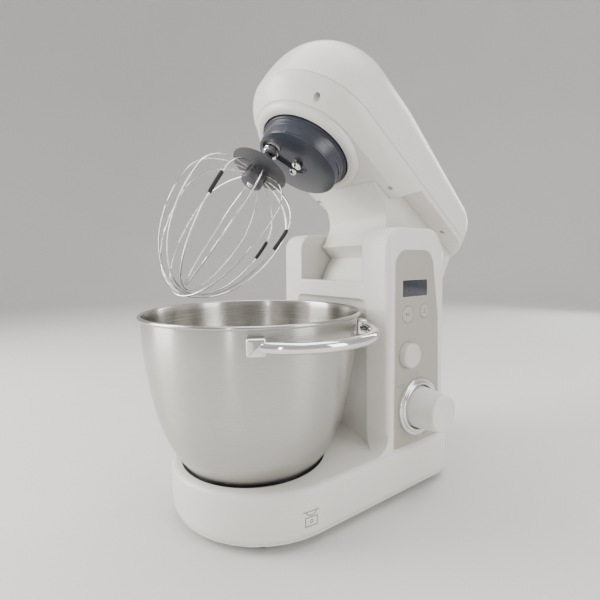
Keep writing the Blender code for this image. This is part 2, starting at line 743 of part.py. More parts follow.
def loft(rings):
    """A closed solid through rings of equally many points: flat at both ends, or a ridge above."""
    bm = bmesh.new()
    rows = [[bm.verts.new(p) for p in ring] for ring in rings]
    count = len(rows[0])
    for low, high in zip(rows, rows[1:]):
        for i in range(count):
            j = (i + 1) % count
            bm.faces.new((low[i], low[j], high[j], high[i]))
    bm.faces.new(rows[0][::-1])
    if abs(rings[-1][0][0]) > 0.0001:
        bm.faces.new(rows[-1])
    bmesh.ops.remove_doubles(bm, verts=bm.verts, dist=0.00005)
    return from_bmesh("loft", bm)


def head_solid(low, high, inset, levels):
    """The head between two heights."""
    rings = []
    for level in levels:
        half, height = head_section(level, inset)
        if low < height < high:
            rings.append(head_ring(half, height, inset))
    seam = HEAD_RADIUS - inset
    if high > HEAD_HEIGHT:
        rings.insert(0, head_ring(seam, low, inset))
    else:
        rings.append(head_ring(seam, high, inset))
    return loft(rings)


def step_region(inset):
    """Side outline of what is cut away below the head's rear, beside the neck."""
    ledge = CARRIER_Z + LEDGE + inset
    floor = CARRIER_Z + HEAD_UNDERSIDE - 0.02
    radius = STEP_RADIUS + inset
    top = math.pi - math.asin((ledge - HINGE_Z) / radius)
    low = math.pi - math.asin((CARRIER_Z + HEAD_UNDERSIDE + inset - HINGE_Z) / radius)
    face = arc(HINGE.yz, radius, top, low, 5)
    return [(0.40, floor), (0.40, ledge), *face, (face[-1][0], floor)]


LOWER_LEVELS = (-1.0, -0.80, -0.55, -0.28)
UPPER_LEVELS = (0.0, 0.22, 0.44, 0.62, 0.78, 0.90, 1.0)


def make_head_covers():
    places = [(side * x, y, seat) for x, y, seat in HEAD_SCREWS for side in (-1, 1)]
    top = head_solid(HEAD_SEAM + GAP, 1, 0, UPPER_LEVELS)
    hollow = head_solid(HEAD_SEAM - 0.01, 1, COVER_WALL, (-0.30, *UPPER_LEVELS))
    for x, y, seat in places:
        column = rod(0.0045, CARRIER_Z, CARRIER_Z + 0.2, 10, centre=(x, y))
        cleanly(hollow, cutter(column, "head"))
    cleanly(top, cutter(hollow, "head"))
    for x, y, seat in places:
        cleanly(top, cutter(rod(0.0018, CARRIER_Z, CARRIER_Z + seat + 0.015, 10, centre=(x, y)), "head"))
    piece(top, "head_top_cover", "head", "white")
    lower = head_solid(-1, HEAD_SEAM, 0, LOWER_LEVELS)
    hollow = head_solid(-1, HEAD_SEAM + 0.01, COVER_WALL, (*LOWER_LEVELS, 0.0))
    cleanly(hollow, cutter(plate([step_region(COVER_WALL)], -0.2, 0.2, along_x=True), "head"))
    for x, y, seat in places:
        cleanly(hollow, cutter(rod(0.0052, CARRIER_Z, CARRIER_Z + 0.1, 12, centre=(x, y)), "head"))
    opening = rod(COLLAR[0], CARRIER_Z - 0.01, CARRIER_Z + 0.03, 48)
    cuts = [plate([step_region(0)], -0.2, 0.2, along_x=True), hollow, opening]
    for x, y, seat in places:
        cuts.append(rod(0.0034, CARRIER_Z - 0.01, CARRIER_Z + seat, 12, centre=(x, y)))
        cuts.append(rod(0.0018, CARRIER_Z, CARRIER_Z + 0.06, 10, centre=(x, y)))
    for cut in cuts:
        cleanly(lower, cutter(cut, "head"))
    for x, y, seat in places:
        high = seat - 0.0004
        head, shank, low = 0.0030, 0.0015, high - 0.0035
        profile = [(0, high + 0.0120), (shank, high + 0.0120), (shank, high), (head, high), (head, low),
            (0, low)]
        screw = turned(profile, 10)
        piece(screw, "head_screw_" + corner(x, y), "head", "iron", (x, y, CARRIER_Z))
    piece(lower, "head_lower_cover", "head", "white")
    inner, outer = COLLAR
    base, rim = HEAD_UNDERSIDE - GAP, 0.0
    profile = [(inner, base), (outer, base), (outer - 0.0005, base - 0.0030), (outer - 0.0045, rim),
        (inner, rim)]
    ring = turned([(r, CARRIER_Z + z) for r, z in profile], 48)
    piece(ring, "collar_ring", "head", "white")


def neck_outline(inset, top_gap):
    """Side outline of the neck: front face, barrel round the hinge, back, and the edge under the head."""
    underside = CARRIER_Z + HEAD_UNDERSIDE - top_gap
    ledge = CARRIER_Z + LEDGE - top_gap
    radius = STEP_RADIUS - top_gap
    top = math.pi - math.asin((ledge - HINGE_Z) / radius)
    low = math.pi - math.asin((underside - HINGE_Z) / radius)
    throat = [(COLLAR[1] + 0.0015, underside), (0.086, 0.2830), (0.101, 0.2760), (0.112, 0.2665), (0.1170, 0.2550)]
    throat = [(y + inset, z if i == 0 else z + 0.3 * inset) for i, (y, z) in enumerate(throat)]
    chin = [(NECK_FRONT + inset, 0.2450), (NECK_FRONT + inset, 0.2325 + inset)]
    barrel = arc(HINGE.yz, BARREL_RADIUS - inset, *BARREL_SWEEP, 9)
    keel = [(HINGE_Y - 0.040, barrel[-1][1] + 0.4 * inset), (HINGE_Y - 0.006, HINGE_Z - 0.0245 + inset)]
    heel = [(HINGE_Y + 0.020, HINGE_Z - 0.020 + inset), (NECK_REAR - inset, HINGE_Z + 0.002 + 0.5 * inset)]
    back = [(NECK_REAR - inset, HINGE_Z + 0.016), (NECK_REAR - 0.008 - inset, ledge)]
    return throat + chin + barrel + keel + heel + back + arc(HINGE.yz, radius, top, low, 5)


def make_neck():
    half = NECK_HALF_WIDTH
    neck = plate([neck_outline(0, GAP)], -half, half, along_x=True)
    hollow = plate([neck_outline(WALL, -0.012)], -half + WALL, half - WALL, along_x=True)
    boolean(neck, cutter(hollow, "head"))
    boss = rod(BOSS_RADIUS, -half + WALL / 2, half - WALL / 2, 32, along_x=True, centre=HINGE.yz)
    boolean(neck, cutter(boss, "head"), "UNION")
    bore = rod(PIN_RADIUS + RUNNING_GAP, -half - 0.01, half + 0.01, 32, along_x=True, centre=HINGE.yz)
    boolean(neck, cutter(bore, "head"))
    piece(neck, "head_neck", "head", "white")
    pin = rod(PIN_RADIUS, -PIN_REACH, PIN_REACH, 24, along_x=True, centre=HINGE.yz)
    piece(pin, "hinge_pin", "base", "iron")
    start = SLOT_HALF_WIDTH + GAP
    for side in (-1, 1):
        outline = [circle(BUSH_RADIUS, 20), circle(PIN_RADIUS + GAP, 20)]
        bush = plate(outline, start, start + BUSH_LENGTH, along_x=True)
        bush.data.transform(Matrix.Translation((0, HINGE_Y, HINGE_Z)))
        if side < 0:
            bush.data.transform(Matrix.Translation((-2 * start - BUSH_LENGTH, 0, 0)))
        piece(bush, "hinge_bush_" + ("left" if side < 0 else "right"), "base", "gear_nylon")


# ---------------------------------------------------------------- planetary drive

def ring_between(inner, outer, low, high, at, steps=48):
    """A plain ring about an upright axis."""
    profile = [(inner, high), (outer, high), (outer, low), (inner, low)]
    return frozen(turned(profile, steps), (at.x, at.y, at.z))


def make_planetary():
    z = CARRIER_Z
    centre = CARRIER
    floor, wall = -CARRIER_DEPTH, CARRIER_WALL
    profile = [(CARRIER_RADIUS - wall, 0.003), (CARRIER_RADIUS, 0.003), (CARRIER_RADIUS, -0.0015)]
    profile += [(CARRIER_RADIUS - 0.0022, -0.0024), (CARRIER_FLOOR_RADIUS, floor + 0.002),
        (CARRIER_FLOOR_RADIUS - 0.002, floor)]
    profile += [(0, floor), (0, floor + wall), (CARRIER_FLOOR_RADIUS - wall - 0.001, floor + wall)]
    profile = profile[-2:] + profile[:-2]
    carrier = frozen(turned([(r, z + h) for r, h in profile], 40))
    boolean(carrier, cutter(rod(DRIVE_SHAFT + GAP, z - 0.03, z + 0.01, 32), "planetary"))
    at = WHISK_AXIS
    bush_radius = OUTPUT_SHAFT + 0.0035
    boolean(carrier, cutter(rod(bush_radius + GAP, z - 0.03, z + 0.01, 32, centre=at.xy), "planetary"))
    piece(carrier, "planetary_carrier", "planetary", "slate")
    bush = ring_between(OUTPUT_SHAFT + RUNNING_GAP, bush_radius, floor, 0.0085, at, 20)
    piece(bush, "planet_bush", "planetary", "gear_nylon")
    low, high = DRIVE_SHAFT_SPAN
    tip = [(0, low), (0.003, low + 0.0008), (0.0045, low + 0.003), (0.0045, low + 0.006),
        (0.0030, low + 0.0085)]
    tip += [(DRIVE_SHAFT, low + 0.0095), (DRIVE_SHAFT, high), (0, high)]
    piece(turned([(r, z + h) for r, h in reversed(tip)], 24), "drive_shaft", "planetary", "chrome")
    low, high = TRAIN_SPAN
    main = plate([gear_outline(MAIN_TEETH, TRAIN_MODULE, turn=math.radians(90)),
        circle(DRIVE_SHAFT + GAP, 32)], z + low, z + high)
    piece(main, "main_gear", "planetary", "iron")
    low, high = GEAR_SPAN
    inward = gear_outline(RING_TEETH, MODULE, internal=True, turn=ORBIT_ANGLE)
    ring = plate([circle(RING_GEAR_RADIUS, 48), inward], z + low, z + high)
    piece(ring, "ring_gear", "head", "gear_nylon")
    half_tooth = math.pi / PLANET_TEETH
    planet = plate([gear_outline(PLANET_TEETH, MODULE, turn=ORBIT_ANGLE + half_tooth)], z + low, z + high)
    planet.data.transform(Matrix.Translation((at.x, at.y, 0)))
    boolean(planet, cutter(rod(OUTPUT_SHAFT + GAP, z, z + 0.04, 24, centre=at.xy), "whisk_drive"))
    piece(planet, "planet_gear", "whisk_drive", "iron")
    low, high = OUTPUT_SPAN
    under = floor - RUNNING_GAP
    shaft = [(0, high), (OUTPUT_SHAFT, high), (OUTPUT_SHAFT, under), (OUTPUT_COLLAR, under)]
    shaft += [(OUTPUT_COLLAR, under - 0.008), (OUTPUT_SHAFT + 0.001, under - 0.0105),
        (OUTPUT_SHAFT, under - 0.0105)]
    shaft += [(OUTPUT_SHAFT, low + 0.001), (OUTPUT_SHAFT - 0.001, low), (0, low)]
    output = frozen(turned(shaft, 24), at)
    cross = rod(0.0016, -0.01, 0.01, 16, along_x=True, centre=(at.y, z - 0.058))
    cross.data.transform(Matrix.Translation((at.x, 0, 0)))
    boolean(output, cutter(cross, "whisk_drive"))
    piece(output, "output_shaft", "whisk_drive", "chrome")
    pin = rod(0.0013, at.x - 0.0062, at.x + 0.0062, 16, along_x=True, centre=(at.y, z - 0.058))
    piece(pin, "output_cross_pin", "whisk_drive", "iron")
    top, low = BOARD
    board = plate([circle(CARRIER_RADIUS - 0.001, 48), circle(0.0095 + GAP, 24)], z + low, z + top)
    boolean(board, cutter(rod(COUNTERSHAFT + 0.0005, z, z + 0.05, 24, centre=(0, COUNTERSHAFT_Y)), "head"))
    piece(board, "gearbox_plate", "head", "iron")
    bearing = ring_between(DRIVE_SHAFT + RUNNING_GAP, 0.0095, low, top, centre, 20)
    piece(bearing, "main_bearing", "head", "gear_nylon")


def make_motor():
    z = CARRIER_Z
    axis = Vector((0, COUNTERSHAFT_Y, z))
    low, high = PULLEY_SPAN
    shaft = rod(COUNTERSHAFT, z + BOARD[1], z + high + 0.003, 24, centre=axis.xy)
    turn = math.radians(-90) + math.pi / PINION_TEETH
    pinion = plate([gear_outline(PINION_TEETH, TRAIN_MODULE, turn=turn)], z + TRAIN_SPAN[0] - 0.0005,
        z + TRAIN_SPAN[1] + 0.0005)
    pinion.data.transform(Matrix.Translation((0, COUNTERSHAFT_Y, 0)))
    boolean(shaft, cutter(pinion, "countershaft"), "UNION")
    piece(shaft, "countershaft", "countershaft", "iron")
    bore = COUNTERSHAFT + GAP
    rim = BIG_PULLEY
    profile = [(bore, high), (rim + 0.0022, high), (rim + 0.0022, high - 0.001), (rim, high - 0.001),
        (rim, low + 0.001)]
    profile += [(rim + 0.0022, low + 0.001), (rim + 0.0022, low), (bore, low)]
    piece(frozen(turned(profile, 32), axis), "large_pulley", "countershaft", "gear_nylon")
    at = Vector((0, MOTOR_Y, z))
    pulley = [(MOTOR_SHAFT + GAP, high), (MOTOR_PULLEY, high), (MOTOR_PULLEY, low), (MOTOR_SHAFT + GAP, low)]
    piece(frozen(turned(pulley, 20), at), "motor_pulley", "motor", "iron")
    piece(make_belt(low + 0.0013, high - 0.0013), "drive_belt", "head", "rubber")
    low, high = MOTOR_SPAN
    piece(rod(MOTOR_SHAFT, z + low + 0.0015, z + PULLEY_SPAN[1] + 0.002, 20, centre=at.xy),
        "motor_shaft", "motor", "iron")
    rotor = ring_between(MOTOR_SHAFT + GAP, ROTOR_RADIUS, low + 0.005, high - 0.005, at, 32)
    piece(rotor, "motor_rotor", "motor", "copper")
    stator = ring_between(ROTOR_RADIUS + 0.001, MOTOR_RADIUS, low, high, at, 32)
    piece(stator, "motor_stator", "head", "iron")
    cap = ring_between(MOTOR_SHAFT + RUNNING_GAP, MOTOR_RADIUS, high + GAP, high + 0.002, at, 32)
    piece(cap, "motor_end_plate", "head", "iron")


def make_belt(low, high):
    """A flat belt round the two pulleys."""
    big, small = BIG_PULLEY + RUNNING_GAP, MOTOR_PULLEY + RUNNING_GAP
    reach = MOTOR_Y - COUNTERSHAFT_Y
    lean = math.asin((big - small) / reach)

    def around(extra):
        near = arc((0, COUNTERSHAFT_Y), big + extra, math.pi - lean, 2 * math.pi + lean, 22)
        far = arc((0, MOTOR_Y), small + extra, lean, math.pi - lean, 8)
        return near + far

    return plate([around(BELT), around(0)], CARRIER_Z + low, CARRIER_Z + high)


# ---------------------------------------------------------------- whisk

def wire_path(loop):
    """A wire loop: on each side a short shoulder from the hub, then a deep end that crosses the axis."""
    angle = math.pi * (loop + 0.5) / WIRE_LOOPS
    depth = WHISK_DEPTH - WIRE_STACKING * loop
    start = -math.acos((HUB_RADIUS + 0.0008) / WHISK_RADIUS)
    swings = [start + (math.pi / 2 - start) * i / (WIRE_STEPS - 1) for i in range(WIRE_STEPS)]
    path = []
    for swing in swings + [math.pi - s for s in reversed(swings[:-1])]:
        reach = WHISK_RADIUS * math.cos(swing)
        drop = WHISK_WIDEST + (WHISK_SHOULDER if math.sin(swing) < 0 else depth) * math.sin(swing)
        path.append((WHISK_AXIS.x + reach * math.cos(angle), WHISK_AXIS.y + reach * math.sin(angle),
            CARRIER_Z - drop))
    return path


def make_whisk():
    z, at = CARRIER_Z, WHISK_AXIS
    sleeve_top = -CARRIER_DEPTH - 0.0125
    bore = OUTPUT_SHAFT + GAP
    bore_end = OUTPUT_SPAN[0] - 0.001
    hub_top, hub_end = -DISC_DROP, -HUB_DROP
    profile = [(0, bore_end), (bore, bore_end), (bore, sleeve_top), (0.0075, sleeve_top),
        (0.0080, hub_top + 0.0045)]
    profile += [(0.011, hub_top + 0.0028), (DISC_RADIUS - 0.001, hub_top + 0.0018),
        (DISC_RADIUS, hub_top + 0.0008)]
    profile += [(DISC_RADIUS - 0.001, hub_top), (HUB_RADIUS, hub_top), (HUB_RADIUS, hub_end + 0.002)]
    profile += [(HUB_RADIUS - 0.003, hub_end), (0, hub_end)]
    hub = frozen(turned(profile, 24), at)
    slot = block((at.x - 0.0068, at.y - 0.0018, z - 0.0600), (at.x + 0.0068, at.y + 0.0018, z - 0.030))
    boolean(hub, cutter(slot, "whisk"))
    piece(hub, "whisk_hub", "whisk", "charcoal")
    rivet = [(0, hub_end - GAP), (0.0036, hub_end - GAP), (0.0034, hub_end - 0.0012),
        (0.0022, hub_end - 0.0022), (0, hub_end - 0.0026)]
    piece(frozen(turned(rivet, 20), at), "whisk_rivet", "whisk", "chrome")
    low = wire_path(0)[0][2]
    inner, outer = HUB_RADIUS + GAP, HUB_RADIUS + 0.0025
    profile = [(outer, low + 0.002), (outer, low - 0.002), (inner, low - 0.002), (inner, low + 0.002)]
    cage = frozen(turned(profile, 24), (at.x, at.y, 0))
    for loop in range(WIRE_LOOPS):
        cleanly(cage, cutter(tube([wire_path(loop)], WIRE_RADIUS, 0), "whisk"), "UNION")
    piece(cage, "whisk_wires", "whisk", "steel")
    for loop, side, letter in SLEEVES:
        path = wire_path(loop)[:: -1 if side else 1]
        start, end = (Vector(point) for point in path[SLEEVE_SEGMENT : SLEEVE_SEGMENT + 2])
        sleeve = tube([[start.lerp(end, share) for share in SLEEVE_SPAN]], SLEEVE_BORE, 1, caps=False)
        wall = sleeve.modifiers.new("wall", "SOLIDIFY")
        wall.thickness = SLEEVE_WALL
        wall.offset = 1
        piece(sleeve, "wire_sleeve_" + letter, "whisk", "rubber")


# ---------------------------------------------------------------- controls

def coil(centre, radius, low, high, turns):
    """A spring's helix along X."""
    count = turns * 6
    path = []
    for i in range(count + 1):
        angle = 2 * math.pi * i / 6
        x = low + (high - low) * i / count
        path.append((x, centre[0] + radius * math.cos(angle), centre[1] + radius * math.sin(angle)))
    return tube([path], 0.0005, 0)


def make_controls():
    y, z, width, height = DISPLAY
    holes = [rectangle(y, z, width, height, 0.0015)]
    for button in (START_BUTTON, TIMER_BUTTON, RELEASE_BUTTON):
        holes.append([(button[0] + a, button[1] + b) for a, b in circle(button[2] + BUTTON_GAP, 20)])
    holes.append([(KNOB[0] + a, KNOB[1] + b) for a, b in circle(BUTTON_STEM + 0.002, 16)])
    back = SIDE - PANEL_THICKNESS + GAP
    panel = plate([panel_outline(0), *holes], back, SIDE + PANEL_PROUD, along_x=True)
    piece(panel, "control_panel", "base", "beige")
    lens = plate([rectangle(y, z, width - 2 * GAP, height - 2 * GAP, 0.0013)], back,
        SIDE + PANEL_PROUD / 2, along_x=True)
    piece(lens, "display_window", "base", "glass")
    inside = SIDE - WALL
    module = block((inside - 0.006, y - width / 2 + 0.001, z - height / 2 + 0.001),
        (inside - GAP, y + width / 2 - 0.001, z + height / 2 - 0.001))
    piece(module, "display_board", "base", "circuit")
    for name, button in (("start_button", START_BUTTON), ("timer_button", TIMER_BUTTON)):
        cap = rod(button[2], back + BUTTON_TRAVEL, SIDE + PANEL_PROUD + 0.0004, 24, along_x=True,
            centre=button[:2])
        stem = rod(BUTTON_STEM, inside - 0.004, SIDE, 16, along_x=True, centre=button[:2])
        boolean(cap, cutter(stem, name), "UNION")
        piece(cap, name, name, "beige")
    make_release_button()
    make_knob()


def make_release_button():
    y, z, radius = RELEASE_BUTTON
    face = SIDE + RELEASE_PROUD
    button = rod(radius, SIDE - 0.0075, face, 28, along_x=True, centre=(y, z))
    bevel(button, 0.0022, 1)
    stem = rod(RELEASE_STEM, 0.020, SIDE, 20, along_x=True, centre=(y, z))
    boolean(button, cutter(stem, "release_button"), "UNION")
    piece(button, "release_button", "release_button", "white")
    spring = coil((y, z), 0.0060, RIB[0][1] + 0.0012, SIDE - 0.0075 - 0.0012, 4)
    piece(spring, "release_spring", "base", "iron")


def make_knob():
    y, z = KNOB
    foot = SIDE + PANEL_PROUD + GAP
    inner, outer = KNOB_RING
    top = foot + KNOB_RING_HEIGHT
    profile = [(inner, top - 0.001), (inner + 0.001, top), (outer - 0.0035, top), (outer, foot + 0.001),
        (outer, foot), (inner, foot)]
    ring = frozen(turned(profile, 28))
    ring.data.transform(Matrix.Translation((0, y, z)) @ TO_X)
    piece(ring, "knob_ring", "base", "chrome")
    start = foot + 0.0008
    knob = rod(KNOB_RADII[0], start, start + KNOB_LENGTH, 28, top_radius=KNOB_RADII[1], along_x=True,
        centre=KNOB)
    bevel(knob, 0.0025, 1, 50)
    shaft = rod(BUTTON_STEM, SIDE - 0.0145, start + 0.010, 20, along_x=True, centre=KNOB)
    boolean(knob, cutter(shaft, "knob"), "UNION")
    piece(knob, "speed_knob", "knob", "white")
    body = block((SIDE - 0.028, y - 0.012, z - 0.012), (SIDE - 0.015, y + 0.012, z + 0.012))
    piece(body, "speed_encoder", "base", "black_plastic")


# ---------------------------------------------------------------- assembly

def centre_on_floor():
    """Moves the mixer so that the origin lies under the middle of its box."""
    bpy.context.view_layer.update()
    graph = bpy.context.evaluated_depsgraph_get()
    low, high = Vector((9, 9, 9)), Vector((-9, -9, -9))
    for obj in PARTS.objects:
        if obj.type == "EMPTY":
            continue
        seen = obj.evaluated_get(graph)
        for vertex in seen.to_mesh().vertices:
            at = obj.matrix_world @ vertex.co
            low = Vector(map(min, low, at))
            high = Vector(map(max, high, at))
        seen.to_mesh_clear()
    EMPTIES["base"].location = (-(low.x + high.x) / 2, -(low.y + high.y) / 2, -low.z)


make_empties()
make_housing()
make_base_pieces()
make_seat()
make_bowl()
make_head_covers()
make_neck()
make_planetary()
make_motor()
make_whisk()
make_controls()
centre_on_floor()
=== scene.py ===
# %% [markdown]
# # A tilt-head stand mixer, piece by piece
#
# This lesson dresses a mixer in its real surfaces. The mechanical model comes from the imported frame, which says
# where each piece is and which body carries it. Every visible shell is then computed again with numpy as a fine
# surface, and each gets a procedural finish.

# %% Load the frame
import json
import math

import bmesh
import bpy
import numpy as np
from mathutils import Matrix, Vector


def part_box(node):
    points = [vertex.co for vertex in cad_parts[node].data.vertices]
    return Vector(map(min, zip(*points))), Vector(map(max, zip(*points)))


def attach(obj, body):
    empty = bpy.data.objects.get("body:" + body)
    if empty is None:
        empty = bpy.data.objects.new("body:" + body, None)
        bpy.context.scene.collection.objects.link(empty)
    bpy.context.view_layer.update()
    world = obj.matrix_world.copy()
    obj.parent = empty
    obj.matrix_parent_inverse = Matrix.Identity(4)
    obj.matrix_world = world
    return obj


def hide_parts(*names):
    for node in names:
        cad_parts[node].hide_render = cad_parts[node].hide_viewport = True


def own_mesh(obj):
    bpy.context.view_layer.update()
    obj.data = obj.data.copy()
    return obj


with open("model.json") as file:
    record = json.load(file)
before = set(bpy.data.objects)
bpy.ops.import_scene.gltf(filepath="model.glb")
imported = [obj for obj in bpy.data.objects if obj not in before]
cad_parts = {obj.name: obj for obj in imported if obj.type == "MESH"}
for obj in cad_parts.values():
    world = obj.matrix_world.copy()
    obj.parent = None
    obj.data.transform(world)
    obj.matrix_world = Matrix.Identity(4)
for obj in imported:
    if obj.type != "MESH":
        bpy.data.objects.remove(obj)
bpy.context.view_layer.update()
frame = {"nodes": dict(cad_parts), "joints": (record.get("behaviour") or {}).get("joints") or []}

# %% [markdown]
# ## Two places to stand
#
# The shapes are easiest to describe with the bowl's axis at x = 0, y = 0 and the head lying flat. Two functions
# carry such points to where they belong: one slides them to the bowl's axis, and the other also turns them about
# the tilt hinge, for everything that rides on the raised head.

# %% The bowl's axis and the hinge
bowl_low, bowl_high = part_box("bowl")
HOME = np.array([(bowl_low.x + bowl_high.x) / 2, (bowl_low.y + bowl_high.y) / 2, 0.0])
JOINTS = {joint["name"]: joint for joint in frame["joints"]}
HINGE = np.array(JOINTS["head_tilt"]["pos_m"]) - HOME
TILT = math.radians(-min(JOINTS["head_tilt"]["range_deg"]))
CARRIER_Z = 0.280  # rim of the planetary carrier with the head down


def on_base(points):
    """Points of the base and bowl: a plain slide."""
    return np.asarray(points, float) + HOME


def on_head(points):
    """Points of the head: turned back about the hinge's x axis, then slid."""
    arm = np.asarray(points, float) - HINGE
    c, s = math.cos(TILT), math.sin(TILT)
    y = arm[..., 1] * c + arm[..., 2] * s
    z = -arm[..., 1] * s + arm[..., 2] * c
    return np.stack([arm[..., 0], y, z], -1) + HINGE + HOME


print("bowl axis at", HOME.round(4), "tilt", round(math.degrees(TILT), 1))

# %% [markdown]
# ## From arrays to meshes
#
# A surface here is an array of points with rows and columns. One helper joins neighbours into quads, closes the
# ends, welds the poles and turns the faces outwards, so that each piece is a clean closed solid.


# %% Mesh helpers
def quads(rows, columns, loop_rows=False):
    """Corner numbers of the quads between neighbouring rows; columns always close into a ring."""
    row = np.arange(rows if loop_rows else rows - 1)[:, None]
    column = np.arange(columns)[None, :]
    up, beside = (row + 1) % rows, (column + 1) % columns
    corners = [row * columns + column, row * columns + beside, up * columns + beside, up * columns + column]
    return np.stack(np.broadcast_arrays(*corners), -1).reshape(-1, 4)


def raw_mesh(name, points, groups):
    """A mesh from an array of points and arrays of faces, each array with one number of corners."""
    mesh = bpy.data.meshes.new(name)
    points = np.asarray(points, np.float32).reshape(-1, 3)
    corners = np.concatenate([group.ravel() for group in groups]).astype(np.int32)
    sizes = np.concatenate([np.full(len(group), group.shape[1]) for group in groups])
    mesh.vertices.add(len(points))
    mesh.vertices.foreach_set("co", points.ravel())
    mesh.loops.add(len(corners))
    mesh.loops.foreach_set("vertex_index", corners)
    mesh.polygons.add(len(sizes))
    mesh.polygons.foreach_set("loop_start", np.concatenate([[0], np.cumsum(sizes)[:-1]]).astype(np.int32))
    mesh.update(calc_edges=True)
    tidy(mesh)
    return mesh


def tidy(mesh):
    """Welds points that share a place, drops empty faces and turns the rest outwards."""
    bm = bmesh.new()
    bm.from_mesh(mesh)
    bmesh.ops.remove_doubles(bm, verts=bm.verts, dist=2e-6)
    bmesh.ops.dissolve_degenerate(bm, edges=bm.edges, dist=1e-7)
    bmesh.ops.recalc_face_normals(bm, faces=bm.faces)
    if bm.calc_volume(signed=True) < 0:
        bmesh.ops.reverse_faces(bm, faces=bm.faces)
    bm.to_mesh(mesh)
    bm.free()


def skin(grid, ends="cap", name="skin"):
    """A closed solid over a grid of rings. Its ends get caps, loop, or stay open where they meet a pole or ridge."""
    rows, columns = grid.shape[:2]
    groups = [quads(rows, columns, ends == "loop")]
    if ends in ("cap", "foot"):
        groups += [np.arange(columns)[None, ::-1]]
    if ends == "cap":
        groups += [np.arange(columns)[None, :] + (rows - 1) * columns]
    return raw_mesh(name, grid, groups)


def spun(profile, steps=96, along="z"):
    """A lathe shape: each (radius, height) of the profile goes round a circle."""
    profile = np.asarray(profile, float)
    angle = np.linspace(0, 2 * np.pi, steps, endpoint=False)
    across = profile[:, :1] * np.cos(angle), profile[:, :1] * np.sin(angle)
    height = np.broadcast_to(profile[:, 1:], across[0].shape)
    order = (across[0], across[1], height) if along == "z" else (height, across[0], across[1])
    return np.stack(order, -1)


def eased(corners, steps=6, close=True):
    """An outline whose corners (a, b, radius) become arcs: each arc's centre lies on the corner's bisector."""
    corners = np.asarray(corners, float)
    out = []
    for here, before, after in zip(corners, np.roll(corners, 1, 0), np.roll(corners, -1, 0)):
        if here[2] <= 0:
            out.append(here[None, :2])
            continue
        back, on = before[:2] - here[:2], after[:2] - here[:2]
        back, on = back / np.linalg.norm(back), on / np.linalg.norm(on)
        half = math.acos(np.clip(back @ on, -1, 1)) / 2
        centre = here[:2] + (back + on) / np.linalg.norm(back + on) * here[2] / math.sin(half)
        first = here[:2] + back * here[2] / math.tan(half) - centre
        last = here[:2] + on * here[2] / math.tan(half) - centre
        start = math.atan2(first[1], first[0])
        turn = (math.atan2(last[1], last[0]) - start + math.pi) % (2 * math.pi) - math.pi
        angle = start + turn * np.linspace(0, 1, steps + 1)
        out.append(centre + here[2] * np.stack([np.cos(angle), np.sin(angle)], -1))
    return np.concatenate(out)


def arc(centre, radius, start, end, count):
    """Points along an arc of a circle."""
    angle = np.linspace(start, end, count)
    return np.asarray(centre) + radius * np.stack([np.cos(angle), np.sin(angle)], -1)


def shrunk(outline, inset):
    """The outline moved inwards along the normals of its neighbours' chord."""
    chord = np.roll(outline, -1, 0) - np.roll(outline, 1, 0)
    normal = np.stack([chord[:, 1], -chord[:, 0]], -1)
    normal /= np.maximum(np.linalg.norm(normal, axis=1, keepdims=True), 1e-12)
    area = (outline[:, 0] * np.roll(outline[:, 1], -1) - np.roll(outline[:, 0], -1) * outline[:, 1]).sum()
    return outline - normal * inset * np.sign(area)


def slab(outline, low, high, low_edge=0.0, high_edge=0.0, along="z", steps=6):
    """An outline carried from low to high. Near an end it draws in along a quarter circle, which rounds that edge."""
    turn = np.linspace(0, np.pi / 2, steps)
    insets, heights = [], []
    for edge, end, way in ((low_edge, low, 1), (high_edge, high, -1)):
        count = turn if edge > 0 else turn[-1:]
        part_inset, part_height = edge * (1 - np.sin(count)), end + way * edge * (1 - np.cos(count))
        insets.append(part_inset if way > 0 else part_inset[::-1])
        heights.append(part_height if way > 0 else part_height[::-1])
    insets, heights = np.concatenate(insets), np.concatenate(heights)
    rows = np.stack([shrunk(outline, inset) for inset in insets])
    level = np.broadcast_to(heights[:, None], rows.shape[:2])
    order = (rows[..., 0], rows[..., 1], level) if along == "z" else (level, rows[..., 0], rows[..., 1])
    return np.stack(order, -1)


def swept(path, radius, sides=14):
    """A round tube: a circle carried along a path on frames that turn as little as they can."""
    path = np.asarray(path, float)
    tangent = np.gradient(path, axis=0)
    tangent /= np.linalg.norm(tangent, axis=1, keepdims=True)
    side = np.cross(tangent[0], [0.31, 0.59, 0.74])
    sides_along = []
    for direction in tangent:
        side = side - direction * (side @ direction)
        side = side / np.linalg.norm(side)
        sides_along.append(side)
    first = np.array(sides_along)
    second = np.cross(tangent, first)
    angle = np.linspace(0, 2 * np.pi, sides, endpoint=False)[None, :, None]
    radius = np.broadcast_to(np.asarray(radius, float), len(path))[:, None, None]
    return path[:, None] + radius * (np.cos(angle) * first[:, None] + np.sin(angle) * second[:, None])


# %% [markdown]
# ## Cutting and joining
#
# The moulded shells have openings, so solids are cut by solids. Each cut is applied at once, and the finished mesh
# holds only what shows on the real moulding.


# %% Booleans
def carved(mesh, *steps):
    """The mesh after a list of (operation, tool mesh) Booleans."""
    obj = bpy.data.objects.new("carved", mesh)
    bpy.context.scene.collection.objects.link(obj)
    tools = []
    for operation, tool_mesh in steps:
        tool = bpy.data.objects.new("tool", tool_mesh)
        bpy.context.scene.collection.objects.link(tool)
        tools.append(tool)
        step = obj.modifiers.new("step", "BOOLEAN")
        step.operation, step.solver, step.object = operation, "MANIFOLD", tool
    bpy.context.view_layer.update()
    result = bpy.data.meshes.new_from_object(obj.evaluated_get(bpy.context.evaluated_depsgraph_get()))
    for spare in [obj, *tools]:
        bpy.data.objects.remove(spare)
    return result


